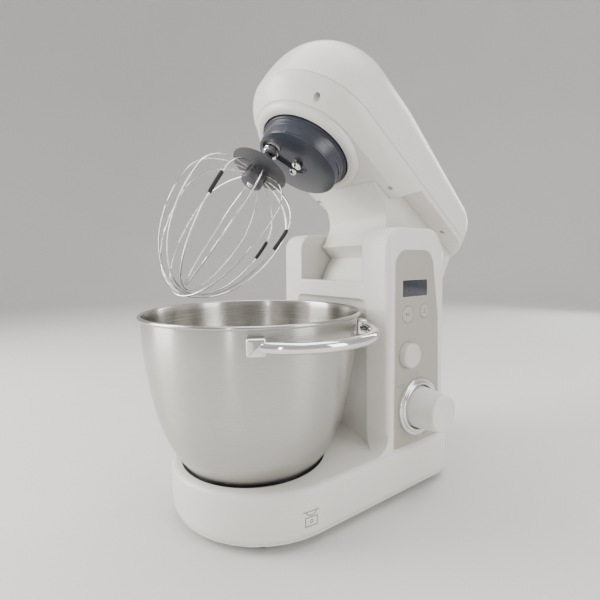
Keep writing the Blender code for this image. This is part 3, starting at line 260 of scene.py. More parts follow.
def joined(*meshes):
    """Separate solids in one mesh."""
    bm = bmesh.new()
    for mesh in meshes:
        bm.from_mesh(mesh)
    result = bpy.data.meshes.new("joined")
    bm.to_mesh(result)
    bm.free()
    return result


def piece(name, mesh, body, finish, replaces=(), place=on_base, sharp=30):
    """Puts a mesh in the scene at its final place, smooth but for edges over an angle, riding on its body."""
    count = len(mesh.vertices)
    points = np.empty(count * 3, np.float32)
    mesh.vertices.foreach_get("co", points)
    mesh.vertices.foreach_set("co", place(points.reshape(-1, 3)).astype(np.float32).ravel())
    mesh.name = name
    mesh.materials.clear()
    mesh.materials.append(finish)
    mesh.shade_smooth()
    mesh.set_sharp_from_angle(angle=math.radians(sharp))
    obj = bpy.data.objects.new(name, mesh)
    bpy.context.scene.collection.objects.link(obj)
    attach(obj, body)
    if replaces:
        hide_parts(*replaces)
    print(f"{name}: {len(mesh.polygons)} faces on {body}")
    return obj


# %% [markdown]
# ## Shader arithmetic
#
# Finishes are sums and products of textures. Writing them as Python expressions keeps them readable, so a small
# class wraps a socket and lets +, -, * and / add the Math nodes.


# %% Signals and finishes
class Signal:
    """A shader socket that takes part in Python arithmetic."""

    def __init__(self, finish, socket):
        self.finish, self.socket = finish, socket

    def math(self, operation, *others):
        """A Math node that works on this signal and the others."""
        return self.finish.node("ShaderNodeMath", {"operation": operation}, [self, *others])["Value"]

    def __add__(self, other):
        return self.math("ADD", other)

    def __mul__(self, other):
        return self.math("MULTIPLY", other)

    def __sub__(self, other):
        return self.math("SUBTRACT", other)

    def __truediv__(self, other):
        return self.math("DIVIDE", other)

    def __pow__(self, other):
        return self.math("POWER", other)

    def __rsub__(self, other):
        return self * -1.0 + other

    __radd__, __rmul__ = __add__, __mul__

    def step(self, edge, soft):
        """0 below the edge, 1 above it, with a soft change."""
        raised = (self - (edge - soft / 2)) / soft
        return self.finish.node("ShaderNodeClamp", {}, [raised, 0.0, 1.0])["Result"]

    def high(self, other):
        """The larger of two signals."""
        return self.math("MAXIMUM", other)


class Outputs:
    """The outputs of a node by name or number, as signals."""

    def __init__(self, finish, node):
        self.finish, self.made = finish, node

    def __getitem__(self, key):
        return Signal(self.finish, self.made.outputs[key])


class Finish:
    """A material: constants go on its shader, and signals are linked with set()."""

    def __init__(self, name, **constants):
        self.material = bpy.data.materials.new(name)
        self.material.use_nodes = True
        self.tree = self.material.node_tree
        self.shader = self.tree.nodes["Principled BSDF"]
        for key, value in constants.items():
            self.shader.inputs[key.replace("_", " ")].default_value = value
        self.place = self.node("ShaderNodeTexCoord", {}, {})["Object"]

    def node(self, kind, settings, sockets):
        """Adds a node. A socket gets a link when its value is a signal, and a constant otherwise."""
        made = self.tree.nodes.new(kind)
        for key, value in settings.items():
            setattr(made, key, value)
        pairs = enumerate(sockets) if isinstance(sockets, list) else sockets.items()
        for key, value in pairs:
            if isinstance(value, Signal):
                self.tree.links.new(value.socket, made.inputs[key])
            elif value is not None:
                made.inputs[key].default_value = value
        return Outputs(self, made)

    def set(self, socket, signal):
        """Links a signal to one of the shader's sockets."""
        self.tree.links.new(signal.socket, self.shader.inputs[socket])

    def moved(self, offset=(0, 0, 0), scale=(1, 1, 1), turn=(0, 0, 0)):
        """Object coordinates, slid, turned and stretched about a piece of the model."""
        at = {"Vector": self.place, "Location": offset, "Scale": scale, "Rotation": turn}
        return self.node("ShaderNodeMapping", {"vector_type": "POINT"}, at)["Vector"]

    def noise(self, scale, detail=2.0, vector=None, roughness=0.5):
        """Fractal noise: octaves of noise, each finer and weaker than the one before, added up."""
        at = {"Vector": vector or self.place, "Scale": scale, "Detail": detail, "Roughness": roughness}
        return self.node("ShaderNodeTexNoise", {}, at)["Fac"]

    def mix(self, factor, first, second):
        """First where the factor is 0, second where it is 1, and their weighted mean between."""
        return self.node("ShaderNodeMix", {"data_type": "RGBA"}, {0: factor, 6: first, 7: second})[2]

    def bump(self, height, strength, distance):
        """Relief: the normal leans by the slope of the height."""
        at = {"Height": height, "Strength": strength, "Distance": distance}
        self.set("Normal", self.node("ShaderNodeBump", {}, at)["Normal"])

    def axes(self, vector=None):
        """The three coordinates of a place, as one signal each."""
        parts = self.node("ShaderNodeSeparateXYZ", {}, [vector or self.place])
        return parts["X"], parts["Y"], parts["Z"]


def paint(r, g, b):
    """A colour that is fully opaque."""
    return (r, g, b, 1.0)


# %% [markdown]
# ## Moulded plastic
#
# The shells are satin ABS. Its tone wanders by a percent or two, its gloss varies where the mould's texture is
# worn, and a very fine grain breaks up the highlight. The same recipe in other colours makes the grey drive
# parts, the whisk's hub and the rubber.


# %% Plastics
def moulded(name, light, dark, gloss, grain, grain_size=2600.0, coat=0.0):
    """Plastic whose tone drifts between two colours, with a fine grain in its surface."""
    finish = Finish(name, IOR=1.47, Coat_Weight=coat, Coat_Roughness=0.18)
    drift = finish.noise(9.0, 3.0)
    speck = finish.noise(grain_size, 2.0)
    finish.set("Base Color", finish.mix(drift * 0.8 + speck * 0.2, paint(*dark), paint(*light)))
    finish.set("Roughness", finish.noise(38.0, 4.0) * 0.10 + speck * 0.06 + (gloss - 0.08))
    finish.bump(speck, grain, 0.0002)
    return finish


WARM_WHITE = (0.800, 0.780, 0.738), (0.765, 0.744, 0.700), 0.34, 0.08
shell_white = moulded("shell_white", *WARM_WHITE, coat=0.15)
knob_white = moulded("knob_white", (0.80, 0.785, 0.75), (0.76, 0.745, 0.705), 0.30, 0.06, coat=0.2)
drive_slate = moulded("drive_slate", (0.048, 0.053, 0.070), (0.036, 0.040, 0.054), 0.30, 0.12, 1800.0, 0.1)
hub_charcoal = moulded("hub_charcoal", (0.080, 0.080, 0.088), (0.055, 0.055, 0.062), 0.46, 0.35, 1500.0)
black_rubber = moulded("black_rubber", (0.022, 0.022, 0.023), (0.013, 0.013, 0.014), 0.72, 0.5, 1300.0)
black_plastic = moulded("black_plastic", (0.030, 0.030, 0.033), (0.018, 0.018, 0.020), 0.48, 0.2, 1600.0)
pale_acetal = moulded("pale_acetal", (0.78, 0.76, 0.69), (0.70, 0.68, 0.60), 0.45, 0.1, 1600.0)
print("plastics ready")

# %% [markdown]
# ## Metals
#
# The bowl is spun steel, so its brushing runs round the axis: the noise is stretched along the surface and squeezed
# in height, which draws long fine rings, and the gloss spreads across them. Chrome keeps an even mirror with faint
# cloudiness, and machined parts get a coarser lathe mark.


# %% Steel, chrome and machined iron
def brushed(name, tone, gloss, rings, centre):
    """Steel turned about an upright axis: noise stretched round the axis, as tone, gloss and relief."""
    finish = Finish(name, Metallic=1.0)
    x, y, z = finish.axes(finish.moved(tuple(-v for v in centre)))
    reach = (x * x + y * y) ** 0.5
    ring = finish.node("ShaderNodeCombineXYZ", {}, [x * 3.0, y * 3.0, (z + reach * 0.35) * rings])["Vector"]
    fine = finish.noise(1.0, 5.0, ring, 0.75)
    cloud = finish.noise(14.0, 3.0)
    darker = tuple(v * 0.86 for v in tone)
    finish.set("Base Color", finish.mix(fine * 0.7 + cloud * 0.3, paint(*darker), paint(*tone)))
    finish.set("Roughness", fine * 0.14 + cloud * 0.05 + (gloss - 0.09))
    finish.bump(fine, 0.05, 0.0002)
    return finish


def polished(name, tone, gloss):
    """Plated metal: a mirror with faint clouds in its gloss."""
    finish = Finish(name, Metallic=1.0)
    cloud = finish.noise(60.0, 4.0)
    finish.set("Base Color", finish.mix(cloud, paint(*(v * 0.95 for v in tone)), paint(*tone)))
    finish.set("Roughness", cloud * 0.06 + gloss)
    return finish


def machined(name, tone, gloss):
    """Turned or stamped metal with a fine irregular grain."""
    finish = Finish(name, Metallic=1.0)
    grain = finish.noise(900.0, 3.0)
    finish.set("Base Color", finish.mix(grain, paint(*(v * 0.75 for v in tone)), paint(*tone)))
    finish.set("Roughness", grain * 0.15 + gloss)
    finish.bump(grain, 0.15, 0.0002)
    return finish


bowl_steel = brushed("bowl_steel", (0.56, 0.545, 0.515), 0.25, 1100.0, HOME)
bowl_steel.shader.inputs["Anisotropic"].default_value = 0.88
bowl_steel.shader.inputs["Anisotropic Rotation"].default_value = 0.25
bright_chrome = polished("bright_chrome", (0.86, 0.86, 0.85), 0.05)
wire_steel = polished("wire_steel", (0.74, 0.73, 0.71), 0.13)
iron = machined("iron", (0.46, 0.46, 0.47), 0.32)
wound_copper = machined("wound_copper", (0.72, 0.36, 0.20), 0.35)
print("metals ready")

# %% [markdown]
# ## The bowl
#
# A deep bowl drawn from one sheet: a smooth side, a flat bottom and a rim rolled outwards into a bead. The side is a
# smooth curve through a few measured heights, and the inner wall is the same curve moved in by the sheet's
# thickness, so the whole bowl is one closed profile spun round.


# %% Bowl profile
def smooth_through(points, per_span=10):
    """A Catmull-Rom curve: each span is a cubic whose slope at a point is half the chord of its neighbours."""
    points = np.asarray(points, float)
    padded = np.concatenate([[2 * points[0] - points[1]], points, [2 * points[-1] - points[-2]]])
    a, b, c, d = (padded[i : len(padded) - 3 + i][:, None] for i in range(4))
    t = np.linspace(0, 1, per_span, endpoint=False)[None, :, None]
    curve = 0.5 * (2 * b + (c - a) * t + (2 * a - 5 * b + 4 * c - d) * t**2 + (3 * b - a - 3 * c + d) * t**3)
    return np.concatenate([curve.reshape(-1, points.shape[1]), points[-1:]])


RIM_Z, RIM_RADIUS, SHEET = 0.2108, 0.1145, 0.0012
side = smooth_through(
    [(0.1141, 0.2094), (0.1131, 0.1840), (0.1090, 0.1510), (0.1028, 0.1180), (0.0960, 0.0960),
        (0.0860, 0.0735), (0.0735, 0.0550)]
)
foot_curve = smooth_through([(0.0735, 0.0550), (0.0722, 0.0532), (0.0700, 0.0521), (0.0690, 0.0516)], 4)[1:]
outer_wall = np.concatenate([side, foot_curve, [(0.0, 0.0516)]])
inner_wall = np.concatenate([side - (SHEET, 0), foot_curve + (-SHEET, SHEET * 0.9), [(0.0, 0.0516 + SHEET)]])
bead = arc((RIM_RADIUS + 0.0008, RIM_Z), 0.0020, math.pi, -0.72 * math.pi, 18)
bowl_profile = np.concatenate([inner_wall[1:][::-1], bead, outer_wall[1:]])
piece("mixing_bowl", skin(spun(bowl_profile, 160), "open"), "bowl", bowl_steel.material, ["bowl"])

# %% [markdown]
# ## The bowl's handle
#
# A bent rod between two cast blocks. The rod bulges away from the wall as a sine of its share along the arc, and
# the blocks are small rounded slabs that face outwards.


# %% Handle
HANDLE_Z, ROD = 0.196, 0.0052
handle_ends = np.radians([-28.5, 46.5])
share = np.linspace(0, 1, 90)
HANDLE_FOOT = 0.1134 + 0.0068
clear = (0.0165 / 2 - 0.002) / HANDLE_FOOT
angle = handle_ends[0] + clear + (handle_ends[1] - handle_ends[0] - 2 * clear) * share
reach = HANDLE_FOOT + 0.0215 * np.sin(np.pi * share) ** 0.8
rod_path = np.stack([reach * np.cos(angle), reach * np.sin(angle), np.full(90, HANDLE_Z)], -1)
handle_parts = [skin(swept(rod_path, ROD, 24))]
for end in handle_ends:
    front = eased([(-0.00815, -0.0077, 0.002), (0.00815, -0.0077, 0.002), (0.00815, 0.0077, 0.002),
        (-0.00815, 0.0077, 0.002)])
    block = slab(front, 0.11445, 0.1236, 0.0003, 0.0022, "x") + (0, 0, HANDLE_Z)
    c, s = math.cos(end), math.sin(end)
    handle_parts.append(skin(np.stack([block[..., 0] * c - block[..., 1] * s,
        block[..., 0] * s + block[..., 1] * c, block[..., 2]], -1)))
handle_mesh = carved(handle_parts[0], ("UNION", handle_parts[1]), ("UNION", handle_parts[2]))
piece("handle_rod", handle_mesh, "bowl", bright_chrome.material, ["bowl_handle"])

# %% [markdown]
# ## The housing
#
# Base and pillar are one moulding. It is built as a designer would block it out: a low foot with a round nose, two
# cheeks that hold the hinge, and a bridge between them. Each block is a slab with its own edge rounding. They are
# joined, and then the bowl's hollow, the seat and the control holes are cut.


# %% Housing outlines
def nosed(half_width, nose_y, rear_y, rear_depth, steps=64):
    """Plan outline: a half circle in front, straight sides and a half ellipse behind."""
    nose = arc((0, nose_y), half_width, -math.pi, 0, steps)
    turn = np.linspace(0, math.pi, steps // 2)
    back = np.stack([half_width * np.cos(turn), rear_y + rear_depth * np.sin(turn)], -1)
    return np.concatenate([nose, back])


BASE_HALF, NOSE_Y, BASE_BOTTOM, BASE_TOP = 0.1005, 0.0136, 0.0076, 0.0565
PILLAR_HALF, PILLAR_FRONT, PILLAR_TOP, SLOT_HALF = 0.0963, 0.1107, 0.301, 0.0554
LIP_TOP, LIP_BACK, WELL_RADIUS = 0.2412, 0.1165, 0.0735
foot_plan = nosed(BASE_HALF, NOSE_Y, 0.203, 0.040)
foot_block = skin(slab(foot_plan, BASE_BOTTOM, BASE_TOP, 0.009, 0.006, steps=8))
cheek_side = eased(
    [
        (PILLAR_FRONT, 0.040, 0),
        (0.242, 0.040, 0),
        (0.240, 0.12, 0.02),
        (0.234, 0.225, 0.012),
        (0.196, PILLAR_TOP, 0.024),
        (PILLAR_FRONT, PILLAR_TOP, 0.020),
    ],
    10,
)
cheeks = [skin(slab(cheek_side, SLOT_HALF, PILLAR_HALF, 0.0035, 0.0066, "x", 8))]
cheeks.append(skin(slab(cheek_side, -PILLAR_HALF, -SLOT_HALF, 0.0066, 0.0035, "x", 8)))
well = arc(HINGE[1:], WELL_RADIUS, math.radians(174), math.radians(234), 30)
lip = [(LIP_BACK, 0.22, 0), (LIP_BACK, LIP_TOP, 0.0022), (PILLAR_FRONT, LIP_TOP, 0.003),
    (PILLAR_FRONT, 0.22, 0)]
lip = eased(lip, 5)
bridge_side = np.concatenate(
    [
        [(PILLAR_FRONT, 0.040), (0.242, 0.040), (0.242, well[-1][1])],
        well[::-1],
        [(LIP_BACK, well[0][1] - 0.0005)],
        lip[1:-1],
    ]
)
bridge = skin(slab(bridge_side, -0.0600, 0.0600, 0, 0, "x"))
COVE = 0.018
sweep = arc((PILLAR_FRONT - COVE, 0.0563 + COVE), COVE, -math.pi / 2, 0, 12)
cove_side = np.concatenate([[(0.125, 0.050)], [(PILLAR_FRONT - COVE, 0.050)], sweep,
    [(0.125, 0.0563 + COVE)]])
cove = skin(slab(cove_side, -0.0960, 0.0960, 0.0006, 0.0006, "x", 4))
back_turn = np.linspace(0, math.pi, 48)
rear_plan = np.stack([PILLAR_HALF * np.cos(back_turn), 0.200 + 0.038 * np.sin(back_turn)], -1)
pillar_plan = np.concatenate([[(-PILLAR_HALF, 0.08), (PILLAR_HALF, 0.08)], rear_plan])
pillar_core = skin(slab(pillar_plan, 0.035, 0.32))

# %% Cut and join the housing
hollow_profile = eased([(0, 0.0560, 0), (0.128, 0.0560, 0.0), (0.128, 0.2215, 0.006), (0, 0.2215, 0)], 6)
bowl_hollow = skin(spun(hollow_profile[::-1], 144), "open")
pillar = carved(cheeks[0], ("UNION", cheeks[1]), ("UNION", bridge), ("INTERSECT", pillar_core),
    ("UNION", cove), ("DIFFERENCE", bowl_hollow))
seat = skin(spun([(0, 0.08), (0.0784, 0.08), (0.0784, 0.0568), (0.0775, 0.0559), (0.0775, 0.044),
    (0, 0.044)], 120), "open")
plate_bed = skin(slab(shrunk(foot_plan, 0.0095), 0.0, 0.0100))
SIDE_X = PILLAR_HALF


def side_bore(radius, y, z, low, high=0.12, steps=48):
    """A round cutter along x."""
    grid = spun([(0, high), (radius, high), (radius, low), (0, low)], steps, "x")
    return skin(grid + (0, y, z), "open")


BUTTONS = {"start": (0.1415, 0.2050, 0.0095), "timer": (0.1705, 0.2070, 0.0080),
    "release": (0.1420, 0.1600, 0.0138)}
KNOB_Y, KNOB_Z = 0.1590, 0.0990
cuts = [("UNION", pillar), ("DIFFERENCE", seat), ("DIFFERENCE", plate_bed)]
STEM_BORE, KNOB_BORE = 0.0042, 0.0047
for key, room, depth in (("start", 0.0003, 0.0920), ("timer", 0.0003, 0.0920), ("release", 0.0004, 0.0800)):
    y, z, radius = BUTTONS[key]
    cuts.append(("DIFFERENCE", side_bore(radius + room, y, z, depth)))
cuts += [("DIFFERENCE", side_bore(STEM_BORE, *BUTTONS["release"][:2], 0.0120))]
cuts += [("DIFFERENCE", side_bore(KNOB_BORE, KNOB_Y, KNOB_Z, 0.080))]
gland_bore = spun([(0, 0.012), (0.0058, 0.012), (0.0058, -0.012), (0, -0.012)], 32)
gland_bore = np.stack([gland_bore[..., 0], 0.243 + gland_bore[..., 2], 0.032 + gland_bore[..., 1]], -1)
cuts += [("DIFFERENCE", skin(gland_bore, "open"))]
housing = carved(foot_block, *cuts)

# %% [markdown]
# The housing's finish is the white plastic with one printed mark: beside the bowl, a small sign shows that the
# bowl locks there. Its lines are distances to simple shapes, measured on the flat side, so that the print stays
# sharp at any size.


# %% Printed marks
class Print:
    """Distances on the side face, in metres along y and z from a chosen middle, which turn into inked lines."""

    def __init__(self, finish, y, z):
        _, along, up = finish.axes()
        self.u, self.v = along - (y + HOME[1]), up - z
        self.facing = finish.axes()[0].step(SIDE_X + HOME[0] - 0.004, 0.0004)

    def at(self, u, v):
        """The place, counted from (u, v)."""
        return self.u - u, self.v - v

    def box(self, u, v, half_u, half_v):
        """Distance to a box's edge, negative inside."""
        x, y = self.at(u, v)
        return (x.math("ABSOLUTE") - half_u).high(y.math("ABSOLUTE") - half_v)

    def ring(self, u, v, radius):
        """Distance to a circle's line: the root of the squares' sum less the radius, negative inside."""
        x, y = self.at(u, v)
        return (x * x + y * y) ** 0.5 - radius

    @staticmethod
    def line(distance, width):
        """1 within half a width of distance 0."""
        return 1 - distance.math("ABSOLUTE").step(width / 2, 0.00016)

    @staticmethod
    def fill(distance):
        """1 where the distance is below 0."""
        return 1 - distance.step(0.0, 0.00016)


def inked(finish, mask, ink):
    """Lays ink over the colour that is already linked, where the mask is 1."""
    ground = Signal(finish, finish.shader.inputs["Base Color"].links[0].from_socket)
    finish.set("Base Color", finish.mix(mask, ground, ink))


printed_white = moulded("printed_white", *WARM_WHITE, coat=0.15)
sign = Print(printed_white, 0.0020, 0.0290)
lock_box = sign.line(sign.box(0, -0.0035, 0.0062, 0.0042), 0.0010)
lock_dot = sign.line(sign.ring(0, -0.0035, 0.0014), 0.0010)
cup = sign.line(sign.ring(0, 0.0085, 0.0062), 0.0010) * (1 - sign.v.step(0.0058, 0.0002))
brim = sign.fill(sign.box(0, 0.0062, 0.0085, 0.0005))
lines = lock_box.high(lock_dot).high(cup).high(brim) * sign.facing
inked(printed_white, lines * 0.85, paint(0.09, 0.085, 0.08))
piece("housing_shell", housing, "base", printed_white.material, ["base_housing"], sharp=28)

# %% [markdown]
# ## The control panel
#
# A flat inlaid plate in a warmer, darker grey. Its outline leans with the pillar. The openings for the display,
# the two flat keys and the raised release button are cut through it, and a thin bright edge frames it.


# %% Panel
def panel_outline(inset, steps=10):
    """The panel's outline, drawn in by an inset: the rear edge leans in as it rises, and each corner is an arc."""
    corners = [
        (0.119 + inset, 0.057 + inset, 0.004),
        (0.199 - inset, 0.057 + inset, 0.004),
        (0.196 - inset, 0.20, 0.05),
        (0.184 - inset, 0.276 - inset, 0.018),
        (0.121 + inset, 0.276 - inset, 0.018),
    ]
    return eased(corners, steps)


panel_grey = moulded("panel_grey", (0.420, 0.395, 0.350), (0.385, 0.362, 0.320), 0.40, 0.12)
marks = Print(panel_grey, KNOB_Y, KNOB_Z)
ticks = None
for number, degrees in enumerate(range(-150, -20, 20)):
    a = math.radians(degrees)
    dot = marks.fill(marks.ring(0.0372 * math.cos(a), 0.0372 * math.sin(a), 0.0006 + 0.0001 * number))
    ticks = dot if ticks is None else ticks.high(dot)
pulse = marks.line(marks.ring(-0.0260, 0.0275, 0.0022), 0.0006)
pulse = pulse.high(marks.fill(marks.box(-0.0320, 0.0275, 0.0026, 0.0003)))
top_line = marks.fill(marks.box(0.0, 0.0375, 0.0003, 0.0022))
inked(panel_grey, ticks.high(pulse).high(top_line) * 0.85, paint(0.11, 0.10, 0.095))
DISPLAY_Y, DISPLAY_Z, DISPLAY_W, DISPLAY_H = 0.1545, 0.2335, 0.0430, 0.0193


def window(margin, radius=0.0015):
    """The display's outline: a rectangle less a margin on each side, with rounded corners."""
    half_w, half_h = DISPLAY_W / 2 - margin, DISPLAY_H / 2 - margin
    ways = ((-1, -1), (1, -1), (1, 1), (-1, 1))
    corners = [(DISPLAY_Y + a * half_w, DISPLAY_Z + b * half_h, radius) for a, b in ways]
    return eased(corners, 5)


plate = skin(slab(panel_outline(0.0002), 0.0951, 0.0966, 0, 0.0003, "x", 4))
openings = [("DIFFERENCE", skin(slab(window(0), 0.09, 0.10, 0, 0, "x")))]
for y, z, radius in BUTTONS.values():
    openings.append(("DIFFERENCE", side_bore(radius + 0.0004, y, z, 0.09)))
openings.append(("DIFFERENCE", side_bore(0.0045, KNOB_Y, KNOB_Z, 0.09)))
piece("panel_plate", carved(plate, *openings), "base", panel_grey.material, ["control_panel"])
edge = panel_outline(-0.0002, 12)
edge_path = np.concatenate([edge, edge[:1]])
edge_path = np.stack([np.full(len(edge_path), 0.09635), edge_path[:, 0], edge_path[:, 1]], -1)
loop = swept(edge_path[:-1], 0.00045, 8)
piece("panel_edge", skin(loop, "loop"), "base", knob_white.material, ())

# %% [markdown]
# ## Display and keys
#
# The display is a smoked window, dark with a blue cast, behind which unlit segments show very faintly. The two
# keys are dished discs with small printed signs, and the release button is a raised drum.

# %% Display window
smoked = Finish("smoked_window", IOR=1.5, Roughness=0.12, Coat_Weight=0.6, Coat_Roughness=0.04)
digits = Print(smoked, DISPLAY_Y, DISPLAY_Z)
segments = None
for place_of in (-0.0125, -0.0055, 0.0055, 0.0125):
    for u, v, half_u, half_v in ((0, 0.0046, 0.0019, 0.0003), (0, 0, 0.0019, 0.0003),
        (0, -0.0046, 0.0019, 0.0003), (-0.0024, 0, 0.0003, 0.0042), (0.0024, 0, 0.0003, 0.0042)):
        bar = digits.fill(digits.box(place_of + u, v, half_u, half_v))
        segments = bar if segments is None else segments.high(bar)
haze = smoked.noise(60.0, 2.0)
glow = smoked.mix(haze, paint(0.012, 0.016, 0.022), paint(0.020, 0.026, 0.036))
smoked.set("Base Color", smoked.mix(segments * 0.6, glow, paint(0.045, 0.060, 0.078)))
piece("display_lens", skin(slab(window(0.0003, 0.0012), 0.0951, 0.0964, 0, 0.0003, "x", 4)), "base",
    smoked.material, ["display_window"])

# %% Keys and release button
def key_profile(radius, low, high, dish, edge):
    """Axis to rim to back: a dished face, a rounded rim and a straight skirt."""
    r = np.linspace(0, radius - edge, 12)
    face = np.stack([r, high - dish * (1 - (r / radius) ** 2)], -1)
    rim = arc((radius - edge, high - edge), edge, math.pi / 2, 0, 7)
    return np.concatenate([face, rim[1:], [(radius, low), (0, low)]])


def pressed(name, key, glyph):
    """One flat key with a printed sign on it."""
    y, z, radius = BUTTONS[key]
    finish = moulded(name + "_face", (0.480, 0.455, 0.410), (0.445, 0.420, 0.378), 0.36, 0.10)
    sign = Print(finish, y, z)
    ring = sign.line(sign.ring(0, 0, radius - 0.0006), 0.0005) * 0.5
    inked(finish, glyph(sign).high(ring) * 0.9, paint(0.09, 0.088, 0.085))
    cap = spun(key_profile(radius, 0.0958, 0.0970, 0.0003, 0.0004), 72, "x") + (0, y, z)
    stem = side_bore(0.0025, y, z, 0.0895, 0.0963, 24)
    piece(name, carved(skin(cap, "open"), ("UNION", stem)), name, finish.material, [name])


def play_sign(sign):
    """A triangle and two bars."""
    u, v = sign.at(-0.0016, 0)
    arrow = (u - 0.0014 + v.math("ABSOLUTE") * 1.0).high(-0.0012 - u)
    first, second = (sign.fill(sign.box(along, 0, 0.0003, 0.0016)) for along in (0.0013, 0.0024))
    return sign.fill(arrow).high(first).high(second)


def glass_sign(sign):
    """An hourglass: two triangles that meet."""
    waist = sign.u.math("ABSOLUTE") - sign.v.math("ABSOLUTE") * 0.75 - 0.0002
    height = sign.v.math("ABSOLUTE") - 0.0021
    return sign.line(waist.high(height), 0.0005)


pressed("start_button", "start", play_sign)
pressed("timer_button", "timer", glass_sign)
y, z, radius = BUTTONS["release"]
drum = spun(key_profile(radius, SIDE_X - 0.0075, SIDE_X + 0.0080, 0.0007, 0.0022), 96, "x") + (0, y, z)
release = carved(skin(drum, "open"), ("UNION", side_bore(0.0035, y, z, 0.020, SIDE_X, 32)))
release_face = moulded("release_face", (0.66, 0.64, 0.60), (0.62, 0.60, 0.56), 0.36, 0.10)
piece("release_drum", release, "release_button", release_face.material, ["release_button"])

# %% [markdown]
# Behind the release button sits its spring, a helix of steel wire with four turns. It shortens as the button goes in,
# but here it is drawn at one length and rides on the base.

# %% Release spring
SPRING = (0.0596, 0.0876)
turns = np.linspace(0, 2 * np.pi * 4, 160)
helix = np.stack([np.linspace(SPRING[0] + 0.0009, SPRING[1] - 0.0009, 160), y + 0.006 * np.cos(turns),
    z + 0.006 * np.sin(turns)], -1)
spring = piece("release_helix", skin(swept(helix, 0.0007, 10)), "base", iron.material,
    ["release_spring"])
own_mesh(spring)

# %% [markdown]
# ## The speed knob
#
# A tall cap tapering slightly outwards, with a softly rounded lip round a shallow dish, in front of a chrome ring
# made of two beads with a groove between them.

# %% Knob and ring
start = SIDE_X + 0.0003 + 0.0003 + 0.0008
end = start + 0.0345
r = np.linspace(0, 0.0170, 16)
face = np.stack([r, end - 0.0004 - 0.0010 * (1 - (r / 0.0170) ** 2)], -1)
lip = arc((0.0179, end - 0.0026), 0.0026, math.pi * 0.60, math.radians(5), 12)
skirt = np.array([(0.0212, end - 0.010), (0.0222, end - 0.020), (0.0230, start + 0.004),
    (0.0234, start + 0.0010), (0.0228, start), (0.0, start)])
knob = spun(np.concatenate([face, lip, skirt]), 120, "x") + (0, KNOB_Y, KNOB_Z)
knob_mesh = carved(skin(knob, "open"),
    ("UNION", side_bore(0.0025, KNOB_Y, KNOB_Z, SIDE_X - 0.0145, start + 0.004, 24)))
piece("knob_cap", knob_mesh, "speed_knob", knob_white.material, ["speed_knob"])
base_x = SIDE_X + 0.0006
ring_profile = np.concatenate(
    [
        [(0.0325, base_x), (0.0325, base_x + 0.0008)],
        arc((0.0303, base_x + 0.0012), 0.0022, 0.0, math.pi * 0.8, 12),
        arc((0.0268, base_x + 0.0036), 0.0018, math.pi * 0.15, math.pi * 0.95, 12),
        [(0.0250, base_x + 0.0030), (0.0250, base_x)],
    ]
)
piece("knob_ring_bright", skin(spun(ring_profile, 120, "x") + (0, KNOB_Y, KNOB_Z), "loop"), "base",
    bright_chrome.material, ["knob_ring"])

# %% [markdown]
# ## The head's covers
#
# Seen from above, every level of the head is the same kind of outline: a half circle in front, straight sides that
# narrow a little, and a half ellipse behind. Going up, its half-width follows a superellipse, and the crown falls
# towards the back. Below the widest level it flares in to the flat underside.

# %% Head levels
HEAD_R, WIDEST, HEIGHT, UNDERSIDE = 0.084, 0.035, 0.125, 0.008
FULLNESS, FLARE, SEAM = 2.6, 0.0165, 0.032


def head_level(half, height, inset, count=72):
    """One ring of the head at a half-width and a height above the carrier's rim."""
    share = half / HEAD_R
    front = arc((0, 0), half, -math.pi, 0, count)
    rear_half, depth = half * 0.976, 0.055 * (0.4 + 0.6 * share) - inset * 0.6
    turn = np.linspace(0, math.pi, count // 2 + 1)
    rear = np.stack([rear_half * np.cos(turn), 0.205 + depth * np.sin(turn)], -1)
    along = np.linspace(0, 1, 26)[1:-1, None]
    right = np.array([half, 0]) + along * (np.array([rear_half, 0.205]) - [half, 0])
    left = right[::-1] * (-1, 1)
    plan = np.concatenate([front, right, rear, left])
    fall = 0.16 * np.maximum(0, plan[:, 1] - 0.06) / (HEIGHT - WIDEST)
    z = height if height <= WIDEST else WIDEST + (height - WIDEST) * (1 - fall)
    return np.column_stack([plan, CARRIER_Z + z + np.zeros(len(plan))])


def crown_level(level, inset, count=72):
    """The ring at a level from 0, the widest, to 1, the ridge."""
    swing = level * math.pi / 2
    half = (HEAD_R - inset) * max(math.cos(swing), 0) ** (2 / FULLNESS)
    rise = (HEIGHT - inset - WIDEST) * math.sin(swing) ** (2 / FULLNESS)
    return head_level(max(half, 0), WIDEST + rise, inset, count)


def chin_level(drop, inset, count=72):
    """The ring at a drop from 0, the widest, to 1, the underside."""
    half = HEAD_R - inset - FLARE * drop**2.2
    return head_level(half, WIDEST - (WIDEST - UNDERSIDE - inset) * drop, inset, count)


# %% Top cover
levels = np.linspace(0, 1, 40) ** 0.85
outside = [head_level(HEAD_R - 0.0006, SEAM + 0.0004, 0), head_level(HEAD_R, SEAM + 0.0010, 0),
    *(crown_level(v, 0) for v in levels)]
inside = [head_level(HEAD_R - 0.0025, SEAM - 0.004, 0.0025), *(crown_level(v, 0.0025) for v in levels)]
crown = carved(skin(np.stack(outside), "foot"), ("DIFFERENCE", skin(np.stack(inside), "foot")))
piece("head_crown", crown, "head", shell_white.material, ["head_top_cover"], on_head)

# %% [markdown]
# The lower cover is a tray. It is a solid of the same levels with the inside taken out, then the round opening for
# the drive, the step behind which the cheeks pass, and the sunken screw holes are cut.


